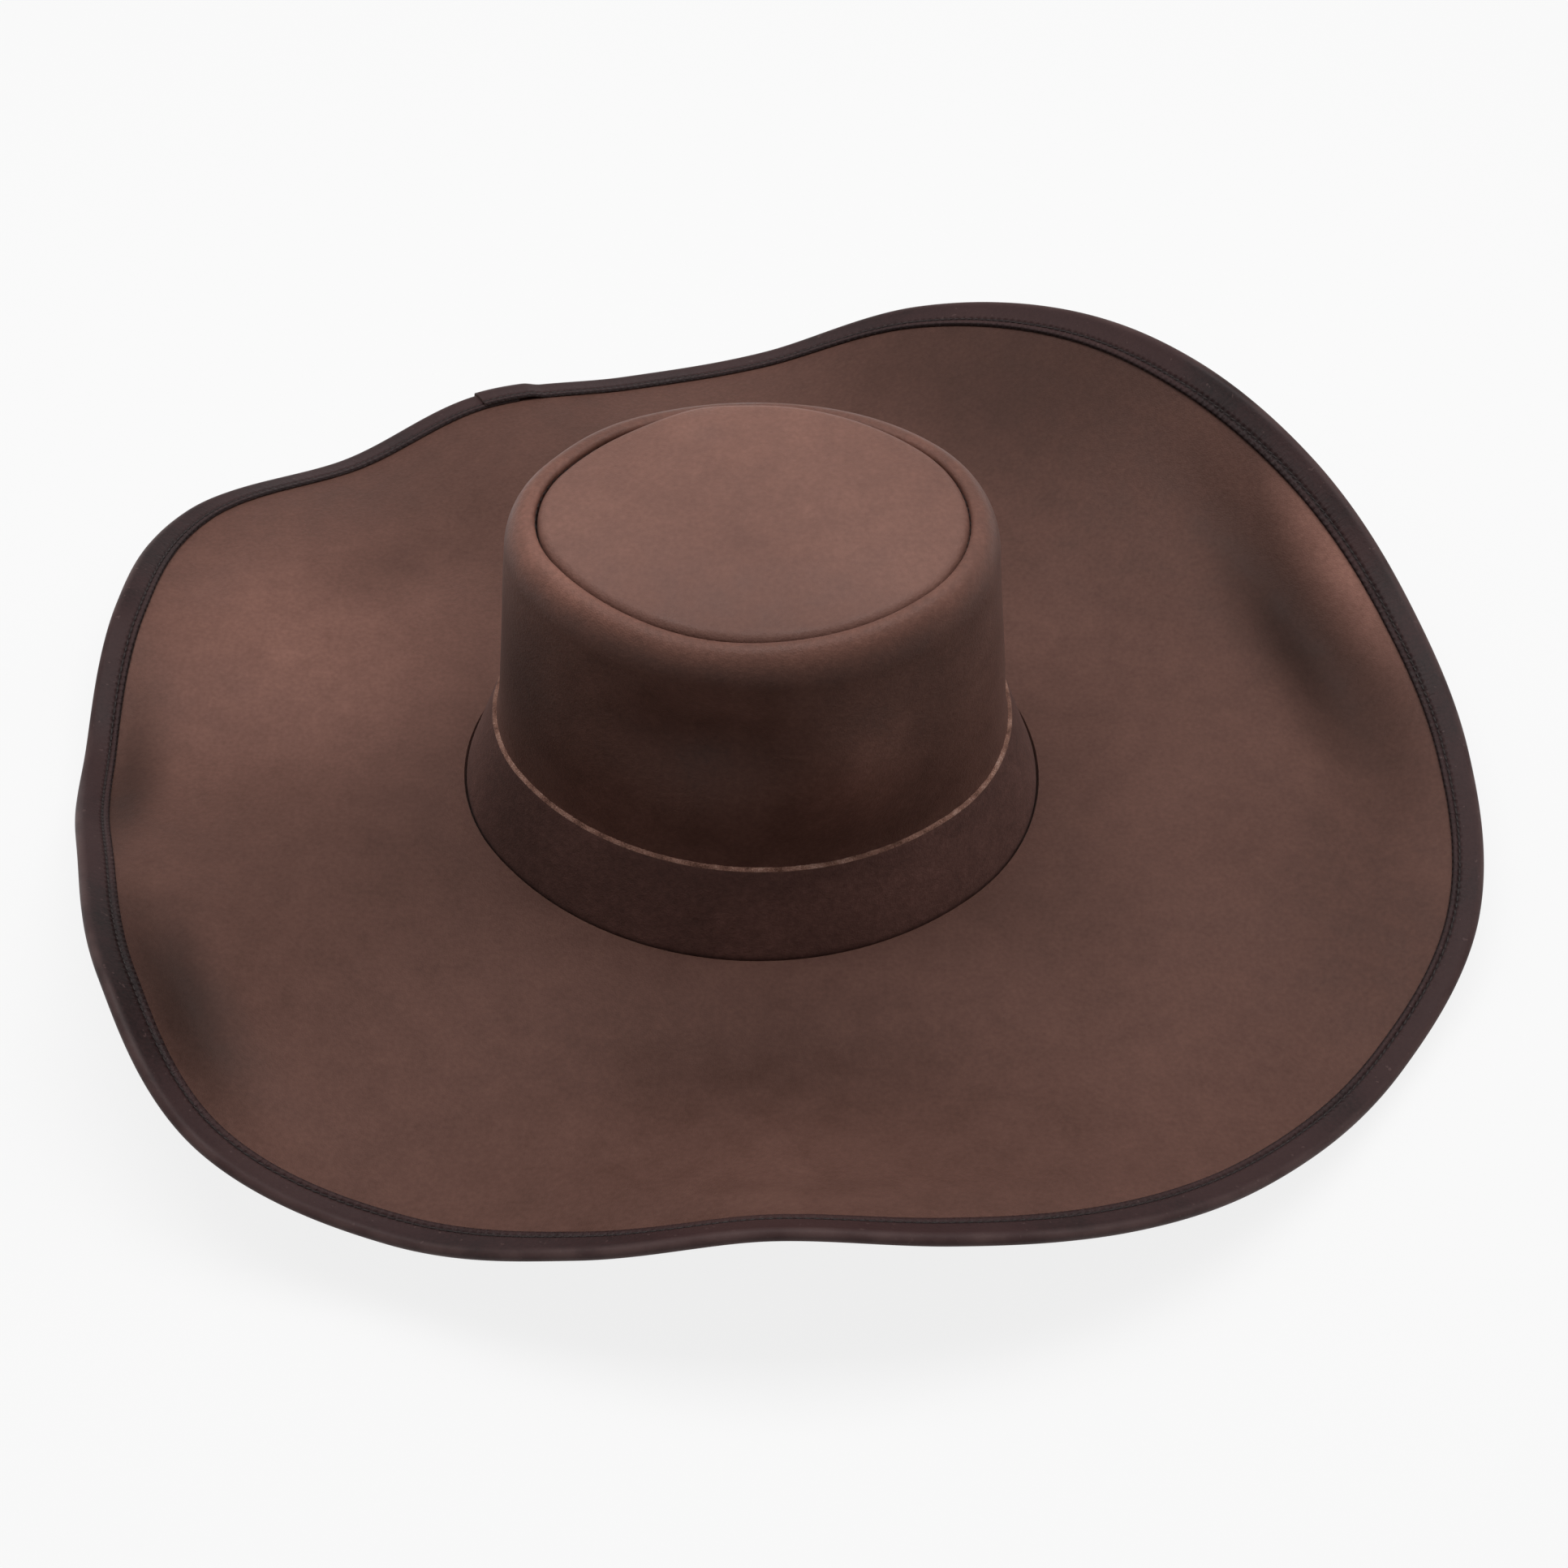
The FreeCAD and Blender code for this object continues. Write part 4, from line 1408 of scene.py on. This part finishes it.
@dataclass
class Studio:
    """The pale studio: floor, soft lamps, surrounding light and camera."""

    floor_level: float
    floor_size: float = 6
    floor_tone: float = 0.82
    floor_glow: float = 0.84
    fill: float = 0.14
    lamps: tuple[Lamp, ...] = (
        Lamp("overhead", (0.0, 0.28, 1.6), (1.7, 0.7), 20),
        Lamp("left_panel", (-1.5, 0.35, 1.35), (0.9, 1.4), 4),
        Lamp("right_panel", (1.5, 0.35, 1.35), (0.9, 1.4), 5),
    )
    distance: float = 1.168
    elevation: float = 50.0
    lens: float = 65.2
    sensor: float = 36
    shift: tuple[float, float] = (0.0207, -0.0109)
    roll: float = 0.5

    def build(self) -> None:
        """Set up everything around the hat."""
        self.lay_floor()
        self.hang_lamps()
        self.place_camera()
        bpy.context.scene.view_settings.view_transform = "Standard"

    def lay_floor(self) -> None:
        """Lay a plain pale floor at the hat's lowest point."""
        mesh = bmesh.new()
        bmesh.ops.create_grid(mesh, x_segments=4, y_segments=4, size=self.floor_size)
        bmesh.ops.translate(mesh, verts=mesh.verts[:], vec=(0, 0, self.floor_level))
        floor = new_object("studio_floor", mesh)
        material = bpy.data.materials.new("studio_floor")
        material.use_nodes = True
        tree = material.node_tree
        shader = tree.nodes["Principled BSDF"]
        shader.inputs["Base Color"].default_value = (self.floor_tone, self.floor_tone, self.floor_tone, 1)
        shader.inputs["Roughness"].default_value = 0.9
        shader.inputs["Specular IOR Level"].default_value = 0.0
        white = tree.nodes.new("ShaderNodeEmission")
        share = tree.nodes.new("ShaderNodeMath")
        share.operation = "MULTIPLY"
        share.inputs[1].default_value = self.floor_glow
        blend = tree.nodes.new("ShaderNodeMixShader")
        tree.links.new(self.looked_at(tree), share.inputs[0])
        tree.links.new(share.outputs[0], blend.inputs[0])
        tree.links.new(shader.outputs["BSDF"], blend.inputs[1])
        tree.links.new(white.outputs["Emission"], blend.inputs[2])
        tree.links.new(blend.outputs[0], tree.nodes["Material Output"].inputs["Surface"])
        floor.data.materials.append(material)
        floor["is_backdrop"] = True

    def looked_at(self, tree: bpy.types.NodeTree) -> bpy.types.NodeSocket:
        """Whether something is seen straight, in a reflection or through glass, and doesn't just give light.

        Args:
            tree: The node tree to add to.

        Returns:
            A value of 1 where it is, or 0.
        """
        path = tree.nodes.new("ShaderNodeLightPath")
        seen = path.outputs["Is Camera Ray"]
        for ray in ("Is Glossy Ray", "Is Transmission Ray"):
            either = tree.nodes.new("ShaderNodeMath")
            either.operation = "MAXIMUM"
            tree.links.new(seen, either.inputs[0])
            tree.links.new(path.outputs[ray], either.inputs[1])
            seen = either.outputs[0]
        return seen

    def hang_lamps(self) -> None:
        """Hang a large soft lamp above and behind, smaller ones at the sides, and light the room evenly."""
        for lamp in self.lamps:
            lamp.hang()
        world = bpy.data.worlds.new("studio")
        world.use_nodes = True
        tree = world.node_tree
        tree.nodes.clear()
        seen = tree.nodes.new("ShaderNodeBackground")
        seen.inputs["Color"].default_value = (1, 1, 1, 1)
        seen.inputs["Strength"].default_value = 1.0
        fill = tree.nodes.new("ShaderNodeBackground")
        fill.inputs["Color"].default_value = (1, 1, 1, 1)
        fill.inputs["Strength"].default_value = self.fill
        blend = tree.nodes.new("ShaderNodeMixShader")
        output = tree.nodes.new("ShaderNodeOutputWorld")
        tree.links.new(self.looked_at(tree), blend.inputs[0])
        tree.links.new(fill.outputs[0], blend.inputs[1])
        tree.links.new(seen.outputs[0], blend.inputs[2])
        tree.links.new(blend.outputs[0], output.inputs["Surface"])
        bpy.context.scene.world = world

    def place_camera(self) -> None:
        """Place the camera in front of the hat and above it, looking at the head opening."""
        data = bpy.data.cameras.new("camera")
        data.lens = self.lens
        data.sensor_width = self.sensor
        data.shift_x, data.shift_y = self.shift
        camera = bpy.data.objects.new("camera", data)
        rise = math.radians(self.elevation)
        camera.location = (0, -self.distance * math.cos(rise), self.distance * math.sin(rise))
        look = Matrix.Rotation(math.pi / 2 - rise, 4, "X") @ Matrix.Rotation(math.radians(self.roll), 4, "Z")
        camera.rotation_euler = look.to_euler()
        bpy.context.scene.collection.objects.link(camera)
        bpy.context.scene.camera = camera


def tint(red: int, green: int, blue: int) -> Colour:
    """Turn a screen colour, 0 to 255, into the linear colour that the shaders use."""
    def linear(level: int) -> float:
        """Undo the screen's curve for one channel."""
        share = level / 255
        return share / 12.92 if share <= 0.04045 else ((share + 0.055) / 1.055) ** 2.4
    return linear(red), linear(green), linear(blue)


def main() -> None:
    """Build the hat in order, then the studio."""
    logging.basicConfig(level=logging.INFO, format="%(message)s")
    oval = HeadOval()
    form = BrimForm(oval, dents=BRIM_DENTS)
    binding = Binding(form)
    flesh = LeatherFinish("flesh_side", tint(104, 80, 68), tint(84, 62, 52), tint(124, 98, 84),
                          roughness=0.85, gloss=0.1, sheen=0.15, nap=0.0005).build()
    raw = RawEdgeFinish("raw_edge", tint(164, 122, 106), tint(96, 66, 56), tint(218, 180, 164)).build()
    dark_edge = RawEdgeFinish("dyed_edge", tint(58, 42, 38), tint(36, 26, 24), tint(78, 58, 52)).build()
    # the brim, wall, tip and band grain carry painted shade and painted light from their patch tables
    brim_grain = LeatherFinish("brim_grain", tint(96, 68, 60), tint(85, 59, 51), tint(107, 77, 68),
                               gloss=0.08, shades=BRIM_PAINTED_LIGHT).build()
    crown_grain = LeatherFinish("crown_grain", tint(94, 64, 55), tint(80, 54, 46), tint(109, 76, 66),
                                shades=CROWN_PAINTED_LIGHT).build()
    tip_grain = LeatherFinish("tip_grain", tint(119, 85, 75), tint(108, 76, 67), tint(131, 95, 84),
                              shades=TIP_PAINTED_LIGHT).build()
    band_grain = LeatherFinish("band_grain", tint(90, 63, 57), tint(74, 51, 46), tint(108, 77, 70),
                               roughness=0.6, cloud_scale=24, shades=BAND_PAINTED_LIGHT).build()
    sweat_grain = LeatherFinish("sweatband_grain", tint(112, 80, 60), tint(92, 64, 48),
                                tint(130, 96, 74)).build()
    binding_grain = BindingFinish("binding_grain", tint(52, 34, 34), tint(28, 18, 18), tint(62, 43, 42),
                                  tint(92, 72, 70), binding.cover, binding.fold, StitchRow.pitch,
                                  binding.thread_rows()).build()
    thread = ThreadFinish("thread", tint(26, 19, 18), tint(52, 40, 38)).build()
    Brim(form).build([brim_grain, flesh, dark_edge])
    binding.build([binding_grain, flesh, dark_edge])
    crown = Crown(oval, wall_dents=WALL_DENTS, rim_dents=RIM_DENTS, tip_dents=TIP_DENTS)
    crown.build_wall([crown_grain, flesh, dark_edge])
    crown.build_tip([tip_grain, flesh, dark_edge])
    Band(crown).build([band_grain, flesh, raw])
    Lining(crown).build([sweat_grain, flesh, dark_edge])
    Seams(oval, form, binding, crown, thread).build()
    Studio(floor_level=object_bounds()[0].z).build()


if __name__ == "__main__":
    main()
